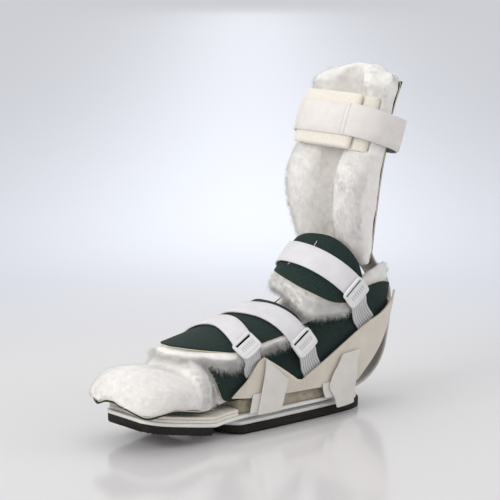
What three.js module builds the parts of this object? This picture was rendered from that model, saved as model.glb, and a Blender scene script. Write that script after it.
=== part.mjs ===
// Ankle foot orthosis with fleece lining, side panels, straps and a two-part walking sole
// Units are millimetres, the toe points to -Y, +X is the buckle side and Z is up
import * as THREE from 'three';
import { mergeVertices } from 'three/addons/utils/BufferGeometryUtils.js';

// Clearances and sheet thicknesses
const GAP = 0.3;
const COVER = 2.3;
const WALL_FLEECE = 9;
const PANEL = 2.3;
const PANEL_INNER = 2.2;
const PANEL_FLARE = 2.2;
const TAB = 1.5;
const ELASTIC = 1.5;
const STRAP = 1.8;
const PLATE = 3.5;

// Boot wall: half width, heel rounding and the level where the instep starts to round over
const HALF_WIDTH = 43;
const HEEL_RADIUS = 50;
const HEEL_ARC = 73;
const HEEL_SQUARE = 2.9;
const SHOULDER = 58;
const ROUNDNESS = 2.2;
const WALL_BOTTOM = 36.6;
const FRONT_EDGE_Y = -68;
const FRONT_EDGE_LEAN = 0.45;
const LAYER_GAP = 0.9;
const INSIDE_SHARE = 0.4;

// Back of the boot at each height: z, y
const HEEL_BACK = [
  { z: 28, y: 113 },
  { z: 44, y: 139 },
  { z: 66, y: 158 },
  { z: 90, y: 165.5 },
  { z: 116, y: 170.5 },
  { z: 140, y: 176 },
];
// Height of the instep under the dorsal flap along the foot: y, z
const INSTEP = [
  { y: -130, z: 77 },
  { y: -67, z: 90 },
  { y: -22, z: 100 },
  { y: 20, z: 112 },
  { y: 45, z: 121 },
  { y: 62, z: 146 },
  { y: 80, z: 220 },
  { y: 120, z: 420 },
];
// Top edge of the boot wall along the side, then round the heel: p, z
const WALL_TOP = [
  { p: -95, z: 71 },
  { p: -62, z: 74 },
  { p: -40, z: 77 },
  { p: -3, z: 84 },
  { p: 20, z: 92 },
  { p: 50, z: 96 },
  { p: 90, z: 112 },
  { p: 132, z: 134 },
  { p: 160, z: 126 },
  { p: 200, z: 110 },
];
// Fleece that stands above the wall's edge: p, rise
const RUFF = [
  { p: -60, rise: 8 },
  { p: 5, rise: 8 },
  { p: 30, rise: 2 },
  { p: 100, rise: 2 },
  { p: 140, rise: 15 },
  { p: 160, rise: 22 },
  { p: 180, rise: 4 },
];
// Cream side panel from its front tip to its rear edge: share of the length, lower and upper edge
const PANEL_FRONT_Y = -62;
const PANEL_ARC = 43;
const PANEL_ROWS = [
  { g: 0, low: 40.5, high: 42.5 },
  { g: 0.09, low: 38, high: 55.5 },
  { g: 0.175, low: 36, high: 76 },
  { g: 0.45, low: 34.5, high: 44.5 },
  { g: 1, low: 32.5, high: 120 },
];
// White tabs, seen from the side: lower end, front and rear edge at the bottom and top, height of the top,
// how far each edge bends forward halfway up, and the inner leg where the fold comes back up
const TABS = [
  {
    name: 'tab_front', low: 19.8, lowY: [-33, -3], topY: [-20, 7], topZ: [73, 50], bend: [0, 0],
    leg: { low: 22.2, high: 41, shift: -9 },
  },
  {
    name: 'tab_rear', low: 10.4, lowY: [67, 91], topY: [80, 104], topZ: [65, 67], bend: [11, 6],
    leg: { low: 22.2, high: 38, shift: -7 },
  },
];

// Sole: half width along the foot
const REAR_TREAD_ROWS = [
  { y: -62, half: 18, low: 3.6 },
  { y: -58, half: 28, low: 2.6 },
  { y: -51, half: 37, low: 1 },
  { y: -43, half: 42, low: 0 },
  { y: -10, half: 42, low: 0 },
  { y: 60, half: 40, low: 0 },
  { y: 100, half: 37, low: 0 },
  { y: 117, half: 32, low: 0 },
  { y: 127, half: 24, low: 0 },
  { y: 133, half: 12, low: 0 },
];
const REAR_TREAD_TOP = 9;
const BASE_TOP = 13;
const BASE_INSET = 1.5;
const BASE_LENGTH_SHARE = 0.985;
const SOLE_PAD = { from: -34, to: 62, half: 32, top: 17.7 };
const FOOT_PLATE_ROWS = [
  { y: -158, half: 26, z: 27.7 },
  { y: -153, half: 35, z: 26.8 },
  { y: -145, half: 41, z: 25.4 },
  { y: -130, half: 44.5, z: 22.8 },
  { y: -86, half: 46, z: 15.4 },
  { y: -81, half: 46, z: 14.8 },
  { y: -70, half: 46, z: 16.2 },
  { y: -50, half: 46, z: 17.6 },
  { y: -38, half: 46, z: 18 },
  { y: 40, half: 45, z: 18 },
  { y: 80, half: 41, z: 18 },
  { y: 98, half: 34, z: 18 },
  { y: 106, half: 24, z: 18 },
];
const FRONT_TREAD = { from: -157, to: -85, thick: 8.4, inset: 1 };
const TOE_STRIP = { from: -150, to: -52, thick: 3, inset: 1.5 };
const FOOTBED_ROWS = [
  { y: -50, half: 40 },
  { y: -42, half: 42.5 },
  { y: 50, half: 42.5 },
  { y: 75, half: 38 },
  { y: 92, half: 30 },
  { y: 103, half: 16 },
];

// Inner sole and toe flap: half width, level of the underside and fleece depth along the foot
const SOLE_ROWS = [
  { y: -175, half: 21, z: 46, fleece: 8 },
  { y: -171, half: 34, z: 44.5, fleece: 17 },
  { y: -164, half: 43, z: 42, fleece: 26 },
  { y: -152, half: 48, z: 39.5, fleece: 33 },
  { y: -136, half: 51, z: 36, fleece: 36 },
  { y: -118, half: 50.5, z: 32.5, fleece: 35 },
  { y: -104, half: 48, z: 30.6, fleece: 33 },
  { y: -97, half: 45.5, z: 30.2, fleece: 45 },
  { y: -90, half: 42, z: 30.3, fleece: 49 },
  { y: -85.5, half: 38, z: 30.5, fleece: 21 },
  { y: -74, half: 30.5, z: 33, fleece: 16 },
  { y: -60, half: 30.5, z: 36.6, fleece: 12 },
  { y: 20, half: 30.5, z: 36.6, fleece: 12 },
  { y: 76, half: 29, z: 36.6, fleece: 12 },
  { y: 98, half: 20, z: 36.6, fleece: 10 },
];
const SOLE_CURL = 6;
const TOE_FLAP = { from: -90, run: 60 };
const TOE_WAVE = { rise: 4, turn: 5.2, start: 1.2 };
const TOE_DROOP = { drop: 15, y: -163, run: 16, farDrop: 12, farY: -170 };
const PILLOW = { edge: 0.3, square: 3, round: 0.6 };

// Dorsal flap: fleece depth, and its front, throat and side edges
const DORSAL_FLEECE = 5.5;
const DORSAL_EDGE_ROWS = [
  { t: 36, front: -52, throat: 35 },
  { t: 48, front: -76, throat: 34 },
  { t: 66, front: -92, throat: 27 },
  { t: 90, front: -101, throat: 22 },
  { t: 115, front: -96, throat: 26 },
  { t: 135, front: -84, throat: 32 },
  { t: 146, front: -72, throat: 36 },
];

// Ankle pad, a leaf on a leaning arch: angle from the near side over the top, lower and upper edge
const ANKLE = { y: 79, z: 114, runY: 36, runZ: 37, nearHalf: 56, farHalf: 42, rise: 48 };
const ANKLE_FLEECE = { thick: 9, hang: 0.2, nearHang: 0.16, nearT: 40, nearRun: 22 };
const ANKLE_ROWS = [
  { t: -5, low: 0.26, high: 0.56 },
  { t: 8, low: -0.04, high: 0.8 },
  { t: 25, low: -0.16, high: 0.92 },
  { t: 45, low: -0.2, high: 1 },
  { t: 62, low: -0.22, high: 1.04 },
  { t: 80, low: -0.16, high: 1 },
  { t: 100, low: -0.07, high: 0.93 },
  { t: 120, low: 0.02, high: 0.83 },
  { t: 140, low: 0.15, high: 0.7 },
  { t: 156, low: 0.33, high: 0.55 },
];

// Calf trough: half width, y of its edges, hollow depth and depth of the fleece rolls at each height
const CALF_ROWS = [
  { z: 150, half: 37, y: 130, sag: 12, roll: 22 },
  { z: 168, half: 41, y: 128.5, sag: 13, roll: 30 },
  { z: 195, half: 46, y: 128, sag: 14, roll: 38 },
  { z: 229, half: 50, y: 129, sag: 15, roll: 42 },
  { z: 256, half: 51, y: 134, sag: 15, roll: 42 },
  { z: 268, half: 50, y: 138, sag: 15, roll: 30 },
  { z: 300, half: 47, y: 147, sag: 15, roll: 25 },
  { z: 325, half: 50, y: 154, sag: 14, roll: 25 },
  { z: 337, half: 53, y: 157, sag: 12, roll: 32 },
];
const CALF_TOP = [
  { z: 345, half: 48, y: 159, sag: 10, roll: 29 },
  { z: 351, half: 38, y: 160, sag: 8, roll: 18 },
];
const CALF_BACK_SHARE = 0.985;
// Section of the two rolls: share of the half width and share of the roll depth
const ROLL_SECTION = [
  { x: 1, d: 0.04 },
  { x: 1.14, d: 0.3 },
  { x: 1.12, d: 0.66 },
  { x: 0.92, d: 0.94 },
  { x: 0.62, d: 1 },
  { x: 0.36, d: 0.84 },
  { x: 0.24, d: 0.5 },
  { x: 0.12, d: 0.32 },
  { x: 0, d: 0.28 },
];

// Calf strap loop, in a plane that drops to the back
const LOOP = { y: 132, z: 290, lean: 20, half: 58, front: 33, back: 36, corner: 28, width: 33 };
const LOOP_TAIL_START = 36;
const FELT = { thick: 5.6, height: 57, outer: [-46, 40], inner: [-34, 51], gap: 0.8 };

// Heel bar, its inner face seen from the side
const BAR = { half: 16, thick: 3, top: 322 };
const BAR_PATH = [
  { y: 70, z: 17.4 },
  { y: 110, z: 17.4 },
  { y: 128, z: 19 },
  { y: 146, z: 25 },
  { y: 160, z: 36 },
  { y: 169, z: 50 },
  { y: 174, z: 68 },
  { y: 177.5, z: 88 },
  { y: 178.5, z: 102 },
  { y: 176.5, z: 118 },
  { y: 168, z: 133 },
  { y: 156, z: 146 },
  { y: 147.5, z: 162 },
];
const HEEL_BAND = { low: 76, high: 108, thick: 2.3, clear: 2 };

// Foot straps: angle over the instep, place along the foot and lift off the boot wall
const STRAP_WIDTH = 25;
const ELASTIC_WIDTH = 24;
const ON_FLAP = 10.1;
const AT_BUCKLE = 7.5;
const UNDER_PANEL = 0.3;
const FAR_END_T = 178;
const STRAP_DROP = { from: 150.5, run: 8.5 };
const ELASTIC_DROP = { from: 0, run: 0.75 };
const FLAP_EDGE_T = 40;
const FLAP_EDGE_RUN = 18;
const STRAP_START = 4;
const ELASTIC_START = -7.2;
const FOOT_STRAPS = [
  { name: 'forefoot', top: -34, mid: -39, near: -41, far: -47, buckleT: 36, turn: 0.45, end: -22, endT: 9 },
  { name: 'instep', top: -2, mid: 12, near: 28, far: -4, buckleT: 21, turn: 0.2, end: 50, endT: 1 },
];
const ANKLE_STRAP = {
  pad: [
    { t: 8, s: 0.4 },
    { t: 50, s: 0.42 },
    { t: 100, s: 0.45 },
    { t: 150, s: 0.49 },
  ],
  far: [
    { x: -45.5, y: 95, z: 122 },
    { x: -45.5, y: 102, z: 108 },
    { x: -44.6, y: 109, z: 94 },
    { x: -43.6, y: 114, z: 80 },
  ],
  farNormal: new THREE.Vector3(-1, 0, 0.2).normalize(),
  nearNormal: new THREE.Vector3(1, 0, 0.15).normalize(),
  buckle: { t: 3, s: 0.34 },
  elastic: [
    { x: 56.6, y: 95, z: 117 },
    { x: 52, y: 104.5, z: 108.5 },
    { x: 45, y: 114, z: 99 },
    { x: 43.7, y: 122, z: 89 },
  ],
};
const BUCKLE = { width: 29, length: 20, thick: 3.4, corner: 5, slot: 3.4, slotWide: 23, slotPlace: 4.2 };

const LOOKS = {
  knit: { color: 0x1e322d, roughness: 0.85 },
  fleece: { color: 0xebe9e6, roughness: 0.95 },
  vinyl: { color: 0xc8beaf, roughness: 0.5 },
  strap: { color: 0xe1dee1, roughness: 0.6 },
  elastic: { color: 0xdcdbde, roughness: 0.8 },
  buckle: { color: 0xe1e1e1, roughness: 0.35 },
  felt: { color: 0xf5f0e1, roughness: 0.95 },
  rubber: { color: 0x231e1c, roughness: 0.9 },
  plate: { color: 0xe4e4e2, roughness: 0.4 },
  bar: { color: 0x9a9691, roughness: 0.5 },
  foam: { color: 0x8d8670, roughness: 0.85 },
};

const model = new THREE.Group();
const rad = THREE.MathUtils.degToRad;
const lerp = THREE.MathUtils.lerp;
const clamp01 = (v) => THREE.MathUtils.clamp(v, 0, 1);

function addPiece(name, geometry, look) {
  const material = new THREE.MeshStandardMaterial({ ...look, metalness: 0 });
  const mesh = new THREE.Mesh(geometry, material);
  mesh.name = name;
  model.add(mesh);
}

// Straight-line reading of a table
function readTable(rows, key, at, column) {
  const last = rows.length - 1;
  if (at <= rows[0][key]) return rows[0][column];
  if (at >= rows[last][key]) return rows[last][column];
  const i = rows.findIndex((row) => row[key] >= at);
  const share = (at - rows[i - 1][key]) / (rows[i][key] - rows[i - 1][key]);
  return lerp(rows[i - 1][column], rows[i][column], share);
}

// Smooth reading of a table, rounded at its rows
function readSmooth(rows, key, at, column, reach = 6) {
  const steps = [-1, -0.5, 0, 0.5, 1];
  const values = steps.map((s) => readTable(rows, key, at + s * reach, column));
  return values.reduce((sum, v) => sum + v, 0) / steps.length;
}

// Closed solid between two grids of points that match row by row
function solidBetween(outer, inner, ring = false) {
  const rows = outer.length;
  const cols = outer[0].length;
  const points = [...outer.flat(), ...inner.flat()];
  const at = (side, i, j) => side * rows * cols + (i % rows) * cols + j;
  const index = [];
  const quad = (a, b, c, d) => index.push(a, b, c, a, c, d);
  const spans = ring ? rows : rows - 1;
  for (let i = 0; i < spans; i++) {
    for (let j = 0; j < cols - 1; j++) {
      quad(at(0, i, j), at(0, i + 1, j), at(0, i + 1, j + 1), at(0, i, j + 1));
      quad(at(1, i, j), at(1, i, j + 1), at(1, i + 1, j + 1), at(1, i + 1, j));
    }
    quad(at(0, i, 0), at(1, i, 0), at(1, i + 1, 0), at(0, i + 1, 0));
    quad(at(0, i + 1, cols - 1), at(1, i + 1, cols - 1), at(1, i, cols - 1), at(0, i, cols - 1));
  }
  if (!ring) {
    for (let j = 0; j < cols - 1; j++) {
      quad(at(0, 0, j), at(0, 0, j + 1), at(1, 0, j + 1), at(1, 0, j));
      const e = rows - 1;
      quad(at(0, e, j + 1), at(0, e, j), at(1, e, j), at(1, e, j + 1));
    }
  }
  return outwardGeometry(points, index);
}

// Geometry whose faces look outward
function outwardGeometry(points, index) {
  let volume = 0;
  const cross = new THREE.Vector3();
  for (let k = 0; k < index.length; k += 3) {
    const [a, b, c] = [points[index[k]], points[index[k + 1]], points[index[k + 2]]];
    volume += a.dot(cross.crossVectors(b, c));
  }
  if (volume < 0) {
    for (let k = 0; k < index.length; k += 3) {
      [index[k + 1], index[k + 2]] = [index[k + 2], index[k + 1]];
    }
  }
  const geometry = new THREE.BufferGeometry().setFromPoints(points);
  geometry.setIndex(index);
  return geometry;
}

// Point at a distance from a surface given as a function of two values
function offsetPoint(surface, u, v, distance, inside) {
  const step = 0.01;
  const du = surface(u + step, v).sub(surface(u - step, v));
  const dv = surface(u, v + step).sub(surface(u, v - step));
  const point = surface(u, v);
  const normal = du.cross(dv).normalize();
  if (normal.dot(point.clone().sub(inside)) < 0) normal.negate();
  return { point: point.addScaledVector(normal, distance), normal };
}

// Slow start and slow end between 0 and 1
function ease(share) {
  return share * share * (3 - 2 * share);
}

// Boot wall, as a side value, a distance p along the side and round the heel, and a height
function heelStart(z) {
  return readSmooth(HEEL_BACK, 'z', z, 'y', 10) - HEEL_RADIUS;
}

function wallHalfWidth(y, z) {
  const top = readSmooth(INSTEP, 'y', y, 'z');
  const over = clamp01((z - SHOULDER) / (top - SHOULDER));
  return HALF_WIDTH * Math.pow(1 - Math.pow(over, ROUNDNESS), 1 / ROUNDNESS);
}

function wallPoint(side, p, z) {
  const start = heelStart(z);
  if (p <= start) return new THREE.Vector3(side * wallHalfWidth(p, z), p, z);
  const turn = ((p - start) / HEEL_ARC) * (Math.PI / 2);
  const power = 2 / HEEL_SQUARE;
  const across = Math.sign(Math.cos(turn)) * Math.pow(Math.abs(Math.cos(turn)), power);
  const back = HEEL_RADIUS * Math.pow(Math.sin(turn), power);
  return new THREE.Vector3(side * wallHalfWidth(start, z) * across, start + back, z);
}

function wallOffset(side, p, z, distance) {
  const inside = new THREE.Vector3(0, p * INSIDE_SHARE, z);
  return offsetPoint((u, v) => wallPoint(side, u, v), p, z, distance, inside);
}

// Instep surface, as an angle from the near side over the top and a place along the foot
function instepPoint(t, y) {
  const power = 2 / ROUNDNESS;
  const c = Math.cos(rad(t));
  const s = Math.max(Math.sin(rad(t)), 0);
  const top = readSmooth(INSTEP, 'y', y, 'z');
  const x = HALF_WIDTH * Math.sign(c) * Math.pow(Math.abs(c), power);
  return new THREE.Vector3(x, y, SHOULDER + (top - SHOULDER) * Math.pow(s, power));
}

function instepOffset(t, y, distance) {
  const inside = new THREE.Vector3(0, y, SHOULDER);
  return offsetPoint(instepPoint, t, y, distance, inside);
}

// Boot wall layer from the near front edge round the heel to the far front edge
function bootLayer(near, far, ruff) {
  const shares = [0, 0.08, 0.17, 0.27, 0.38, 0.48, 0.57, 0.65, 0.73, 0.8, 0.86, 0.91, 0.955, 1];
  const levels = [0, 0.17, 0.36, 0.56, 0.78, 1];
  const column = (side, share) => levels.map((level) => {
    const pMid = lerp(FRONT_EDGE_Y, heelStart(90) + HEEL_ARC, share);
    const edge = readSmooth(WALL_TOP, 'p', pMid, 'z', 8);
    const rise = ruff * readSmooth(RUFF, 'p', pMid, 'rise', 8);
    const z = lerp(WALL_BOTTOM, edge + rise, level);
    const front = FRONT_EDGE_Y - (z - WALL_BOTTOM) * FRONT_EDGE_LEAN;
    return [side, lerp(front, heelStart(z) + HEEL_ARC, share), z];
  });
  const columns = shares.map((share) => column(1, share));
  const back = shares.slice(0, -1).reverse().map((share) => column(-1, share));
  const grid = (d) => [...columns, ...back].map((col) => col.map(([side, p, z]) => {
    return wallOffset(side, p, z, d).point;
  }));
  return solidBetween(grid(far), grid(near));
}

function addBoot() {
  addPiece('boot_cover', bootLayer(-COVER, 0, 0), LOOKS.knit);
  const fleeceOuter = -COVER - LAYER_GAP;
  addPiece('boot_fleece', bootLayer(fleeceOuter - WALL_FLEECE, fleeceOuter, 1), LOOKS.fleece);
}

// Dorsal flap layer over the instep
function dorsalLayer(near, far, extra) {
  const places = [];
  const shares = [0, 0.09, 0.25, 0.5, 0.75, 1];
  for (let i = 0; i <= 14; i++) {
    const t = lerp(DORSAL_EDGE_ROWS[0].t - extra, DORSAL_EDGE_ROWS.at(-1).t + extra, i / 14);
    const front = readSmooth(DORSAL_EDGE_ROWS, 't', t, 'front', 5) - extra;
    const throat = readSmooth(DORSAL_EDGE_ROWS, 't', t, 'throat', 5) + extra;
    places.push(shares.map((k) => [t, lerp(front, throat, k)]));
  }
  const grid = (d) => places.map((row) => row.map(([t, y]) => instepOffset(t, y, d).point));
  return solidBetween(grid(far), grid(near));
}

function addDorsalFlap() {
  addPiece('dorsal_fleece', dorsalLayer(GAP, GAP + DORSAL_FLEECE, 1), LOOKS.fleece);
  const cover = GAP + DORSAL_FLEECE + LAYER_GAP;
  addPiece('dorsal_cover', dorsalLayer(cover, cover + COVER, 0), LOOKS.knit);
}

// Side panels and the band between their rear ends
function panelPlace(g, z) {
  return lerp(PANEL_FRONT_Y, heelStart(z) + PANEL_ARC, g);
}

function addPanel(name, side) {
  const columns = 26;
  const grid = (d) => Array.from({ length: columns + 1 }, (_, i) => {
    const g = i / columns;
    const low = readTable(PANEL_ROWS, 'g', g, 'low');
    const high = readTable(PANEL_ROWS, 'g', g, 'high');
    return [0, 0.33, 0.67, 1].map((k) => {
      const z = lerp(low, high, k);
      return wallOffset(side, panelPlace(g, z), z, d + PANEL_FLARE * k).point;
    });
  });
  addPiece(name, solidBetween(grid(PANEL_INNER + PANEL), grid(PANEL_INNER)), LOOKS.vinyl);
}

function addHeelBand() {
  const shares = [0, 0.33, 0.67, 1];
  const half = (side, d) => shares.map((share) => [0, 0.5, 1].map((k) => {
    const z = lerp(HEEL_BAND.low, HEEL_BAND.high, k);
    const p = heelStart(z) + lerp(PANEL_ARC + HEEL_BAND.clear, HEEL_ARC, share);
    return wallOffset(side, p, z, d).point;
  }));
  const grid = (d) => [...half(-1, d), ...half(1, d).reverse().slice(1)];
  addPiece('heel_band', solidBetween(grid(LAYER_GAP + HEEL_BAND.thick), grid(LAYER_GAP)), LOOKS.strap);
}

// One leg of a tab at a distance from the boot wall
function tabLeg(tab, side, start, leg) {
  const levels = [0, 0.2, 0.4, 0.6, 0.8, 1];
  const grid = (d) => [0, 0.5, 1].map((across) => levels.map((level) => {
    const top = lerp(...tab.topZ, across);
    const z = lerp(leg.low, Math.min(leg.high, top), level);
    const share = (z - tab.low) / (top - tab.low);
    const y = lerp(lerp(...tab.lowY, across), lerp(...tab.topY, across), share);
    const bend = lerp(...tab.bend, across) * Math.sin(Math.PI * clamp01(share)) ** 2;
    return wallOffset(side, y + leg.shift - bend, z, d).point;
  }));
  return solidBetween(grid(start + TAB), grid(start));
}

// Tab on the outside of the panel, with the inner leg of its fold round the foot plate
function addTab(tab, name, side) {
  const inner = PANEL_INNER + PANEL + LAYER_GAP;
  const outer = PANEL_INNER + PANEL_FLARE + PANEL + LAYER_GAP;
  const outerLeg = { low: tab.low, high: Math.max(...tab.topZ), shift: 0 };
  addPiece(name, tabLeg(tab, side, outer, outerLeg), LOOKS.strap);
  addPiece(name + '_inner', tabLeg(tab, side, inner, tab.leg), LOOKS.strap);
}

function addHolding() {
  addPanel('panel_near', 1);
  addPanel('panel_far', -1);
  addHeelBand();
  for (const tab of TABS) {
    addTab(tab, tab.name + '_near', 1);
    addTab(tab, tab.name + '_far', -1);
  }
}

// Flat layer with a half width, a lower and an upper level at each place along the foot
function flatLayer(rows) {
  const face = (key) => rows.map((row) => [-1, 1].map((side) => {
    return new THREE.Vector3(side * row.half, row.y, row[key]);
  }));
  return solidBetween(face('top'), face('low'));
}

function plateLevel(y) {
  return readTable(FOOT_PLATE_ROWS, 'y', y, 'z');
}

function plateHalf(y) {
  return readTable(FOOT_PLATE_ROWS, 'y', y, 'half');
}

// Layer that follows the foot plate at a distance above or below it
function alongPlate(piece, low, top) {
  const inner = FOOT_PLATE_ROWS.filter((row) => row.y > piece.from && row.y < piece.to).map((row) => row.y);
  const rows = [piece.from, ...inner, piece.to].map((y) => {
    return { y, half: plateHalf(y) - piece.inset, low: plateLevel(y) + low, top: plateLevel(y) + top };
  });
  return flatLayer(rows);
}

function addSole() {
  const tread = REAR_TREAD_ROWS.map((row) => ({ ...row, top: REAR_TREAD_TOP }));
  addPiece('rear_tread', flatLayer(tread), LOOKS.rubber);
  const base = REAR_TREAD_ROWS.map((row) => {
    const y = row.y * BASE_LENGTH_SHARE;
    return { y, half: row.half - BASE_INSET, low: REAR_TREAD_TOP + GAP, top: BASE_TOP };
  });
  addPiece('base_plate', flatLayer(base), LOOKS.plate);
  const pad = [SOLE_PAD.from, SOLE_PAD.to].map((y) => {
    return { y, half: SOLE_PAD.half, low: BASE_TOP + GAP, top: SOLE_PAD.top };
  });
  addPiece('sole_pad', flatLayer(pad), LOOKS.foam);
  const plate = FOOT_PLATE_ROWS.map((row) => ({ ...row, low: row.z, top: row.z + PLATE }));
  addPiece('foot_plate', flatLayer(plate), LOOKS.plate);
  addPiece('front_tread', alongPlate(FRONT_TREAD, -GAP - FRONT_TREAD.thick, -GAP), LOOKS.rubber);
  const first = PLATE + GAP;
  const second = first + TOE_STRIP.thick + GAP;
  addPiece('toe_strip_lower', alongPlate(TOE_STRIP, first, first + TOE_STRIP.thick), LOOKS.felt);
  addPiece('toe_strip_upper', alongPlate(TOE_STRIP, second, second + TOE_STRIP.thick), LOOKS.felt);
  const bedLow = plateLevel(0) + PLATE + GAP;
  const bed = FOOTBED_ROWS.map((row) => ({ ...row, low: bedLow, top: WALL_BOTTOM - GAP }));
  addPiece('footbed', flatLayer(bed), LOOKS.foam);
}

// Inner sole: the underside curls up at the sides and waves along the toe edge
function soleLevel(row, across) {
  const toe = clamp01((TOE_FLAP.from - row.y) / TOE_FLAP.run);
  const curl = SOLE_CURL * toe * Math.pow(Math.abs(across), 3);
  const swing = Math.sin(across * TOE_WAVE.turn + TOE_WAVE.start) * Math.abs(across);
  const nearCorner = clamp01(2 * across - 1) ** 2;
  const farCorner = clamp01(-2 * across - 0.8) ** 2;
  const hang = (place) => Math.exp(-(((row.y - place) / TOE_DROOP.run) ** 2));
  const nearDroop = TOE_DROOP.drop * nearCorner * hang(TOE_DROOP.y);
  const farDroop = TOE_DROOP.farDrop * farCorner * hang(TOE_DROOP.farY);
  return row.z + curl + TOE_WAVE.rise * toe * toe * swing - nearDroop - farDroop;
}

function addInnerSole() {
  const across = [-1, -0.9, -0.75, -0.5, -0.25, 0, 0.25, 0.5, 0.75, 0.9, 1];
  const grid = (level) => SOLE_ROWS.map((row) => across.map((k) => {
    return new THREE.Vector3(k * row.half, row.y, level(row, k));
  }));
  const bottom = (row, k) => soleLevel(row, k);
  const coverTop = (row, k) => soleLevel(row, k) + COVER;
  const fleeceLow = (row, k) => soleLevel(row, k) + COVER + GAP;
  const swell = (k) => Math.pow(1 - Math.pow(Math.abs(k), PILLOW.square), PILLOW.round);
  const pillow = (k) => lerp(PILLOW.edge, 1, swell(k));
  const fleeceTop = (row, k) => fleeceLow(row, k) + row.fleece * pillow(k);
  addPiece('sole_cover', solidBetween(grid(coverTop), grid(bottom)), LOOKS.knit);
  addPiece('sole_fleece', solidBetween(grid(fleeceTop), grid(fleeceLow)), LOOKS.fleece);
}

// Ankle pad on its arch, as an angle over the top and a share of its run up the leg
function anklePoint(t, s) {
  const power = 2 / ROUNDNESS;
  const c = Math.cos(rad(t));
  const n = Math.sin(rad(t));
  const half = c > 0 ? ANKLE.nearHalf : ANKLE.farHalf;
  const x = half * Math.sign(c) * Math.pow(Math.abs(c), power);
  const up = ANKLE.rise * Math.sign(n) * Math.pow(Math.abs(n), power) * Math.SQRT1_2;
  return new THREE.Vector3(x, ANKLE.y + ANKLE.runY * s - up, ANKLE.z + ANKLE.runZ * s + up);
}

function ankleOffset(t, s, distance) {
  const inside = new THREE.Vector3(0, ANKLE.y + ANKLE.runY * s, ANKLE.z + ANKLE.runZ * s);
  return offsetPoint(anklePoint, t, s, distance, inside);
}

function ankleLayer(near, far, hang) {
  const first = ANKLE_ROWS[0].t;
  const last = ANKLE_ROWS.at(-1).t;
  const grid = (d) => Array.from({ length: 17 }, (_, i) => {
    const t = lerp(first, last, i / 16);
    const low = readSmooth(ANKLE_ROWS, 't', t, 'low', 6) - hang(t);
    const high = readSmooth(ANKLE_ROWS, 't', t, 'high', 6);
    return [0, 0.25, 0.5, 0.75, 1].map((k) => ankleOffset(t, lerp(low, high, k), d).point);
  });
  return solidBetween(grid(far), grid(near));
}

function addAnklePad() {
  addPiece('ankle_cover', ankleLayer(-COVER, 0, () => 0), LOOKS.knit);
  const outer = -COVER - LAYER_GAP;
  const inner = outer - ANKLE_FLEECE.thick;
  const { hang, nearHang, nearT, nearRun } = ANKLE_FLEECE;
  const below = (t) => hang + nearHang * Math.exp(-(((t - nearT) / nearRun) ** 2));
  addPiece('ankle_fleece', ankleLayer(inner, outer, below), LOOKS.fleece);
}

// Calf trough
function calfBack(row, x) {
  const share = x / row.half;
  return row.y + row.sag * (1 - share * share);
}

function calfCover(rows) {
  const across = [-1, -0.75, -0.5, -0.25, 0, 0.25, 0.5, 0.75, 1];
  const face = (d) => rows.map((row) => across.map((k) => {
    return new THREE.Vector3(k * row.half, calfBack(row, k * row.half) + d, row.z);
  }));
  return solidBetween(face(COVER), face(0));
}

function calfSection(row) {
  const otherSide = ROLL_SECTION.slice(0, -1).reverse().map((s) => ({ x: -s.x, d: s.d }));
  const curve = [...ROLL_SECTION, ...otherSide];
  const front = curve.map((s) => {
    const edge = Math.min(Math.abs(s.x), 1) * Math.sign(s.x);
    const y = lerp(calfBack(row, edge * row.half) - GAP, row.y - row.roll, s.d);
    return new THREE.Vector3(s.x * row.half, y, row.z);
  });
  const back = curve.map((s) => {
    const edge = Math.min(Math.abs(s.x), 1) * Math.sign(s.x);
    const x = edge * row.half * CALF_BACK_SHARE;
    return new THREE.Vector3(x, calfBack(row, edge * row.half) - GAP, row.z);
  });
  return { front, back };
}

function addCalf() {
  addPiece('calf_cover', calfCover(CALF_ROWS), LOOKS.knit);
  const sections = [...CALF_ROWS, ...CALF_TOP].map(calfSection);
  const fleece = solidBetween(sections.map((s) => s.front), sections.map((s) => s.back));
  addPiece('calf_fleece', fleece, LOOKS.fleece);
}

// Heel bar: the J round the heel, then straight up behind the calf
function addHeelBar() {
  const upper = CALF_ROWS.filter((row) => row.z > BAR_PATH.at(-1).z && row.z < BAR.top);
  const rise = upper.map((row) => ({ y: calfBack(row, 0) + COVER + LAYER_GAP, z: row.z }));
  const path = [...BAR_PATH, ...rise].map((row) => new THREE.Vector3(0, row.y, row.z));
  const curve = new THREE.CatmullRomCurve3(path, false, 'centripetal');
  const steps = 44;
  const face = (d) => Array.from({ length: steps + 1 }, (_, i) => {
    const point = curve.getPoint(i / steps);
    const tangent = curve.getTangent(i / steps);
    const out = new THREE.Vector3(0, tangent.z, -tangent.y);
    return [-1, 1].map((side) => point.clone().addScaledVector(out, d).setX(side * BAR.half));
  });
  addPiece('heel_bar', solidBetween(face(BAR.thick), face(0)), LOOKS.bar);
}

// Frame of the leaning calf strap loop
const LOOP_ALONG = new THREE.Vector3(0, Math.cos(rad(LOOP.lean)), -Math.sin(rad(LOOP.lean)));
const LOOP_UP = new THREE.Vector3(0, Math.sin(rad(LOOP.lean)), Math.cos(rad(LOOP.lean)));

function loopPlace(x, along, up) {
  const centre = new THREE.Vector3(x, LOOP.y, LOOP.z);
  return centre.addScaledVector(LOOP_ALONG, along).addScaledVector(LOOP_UP, up);
}

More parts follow.
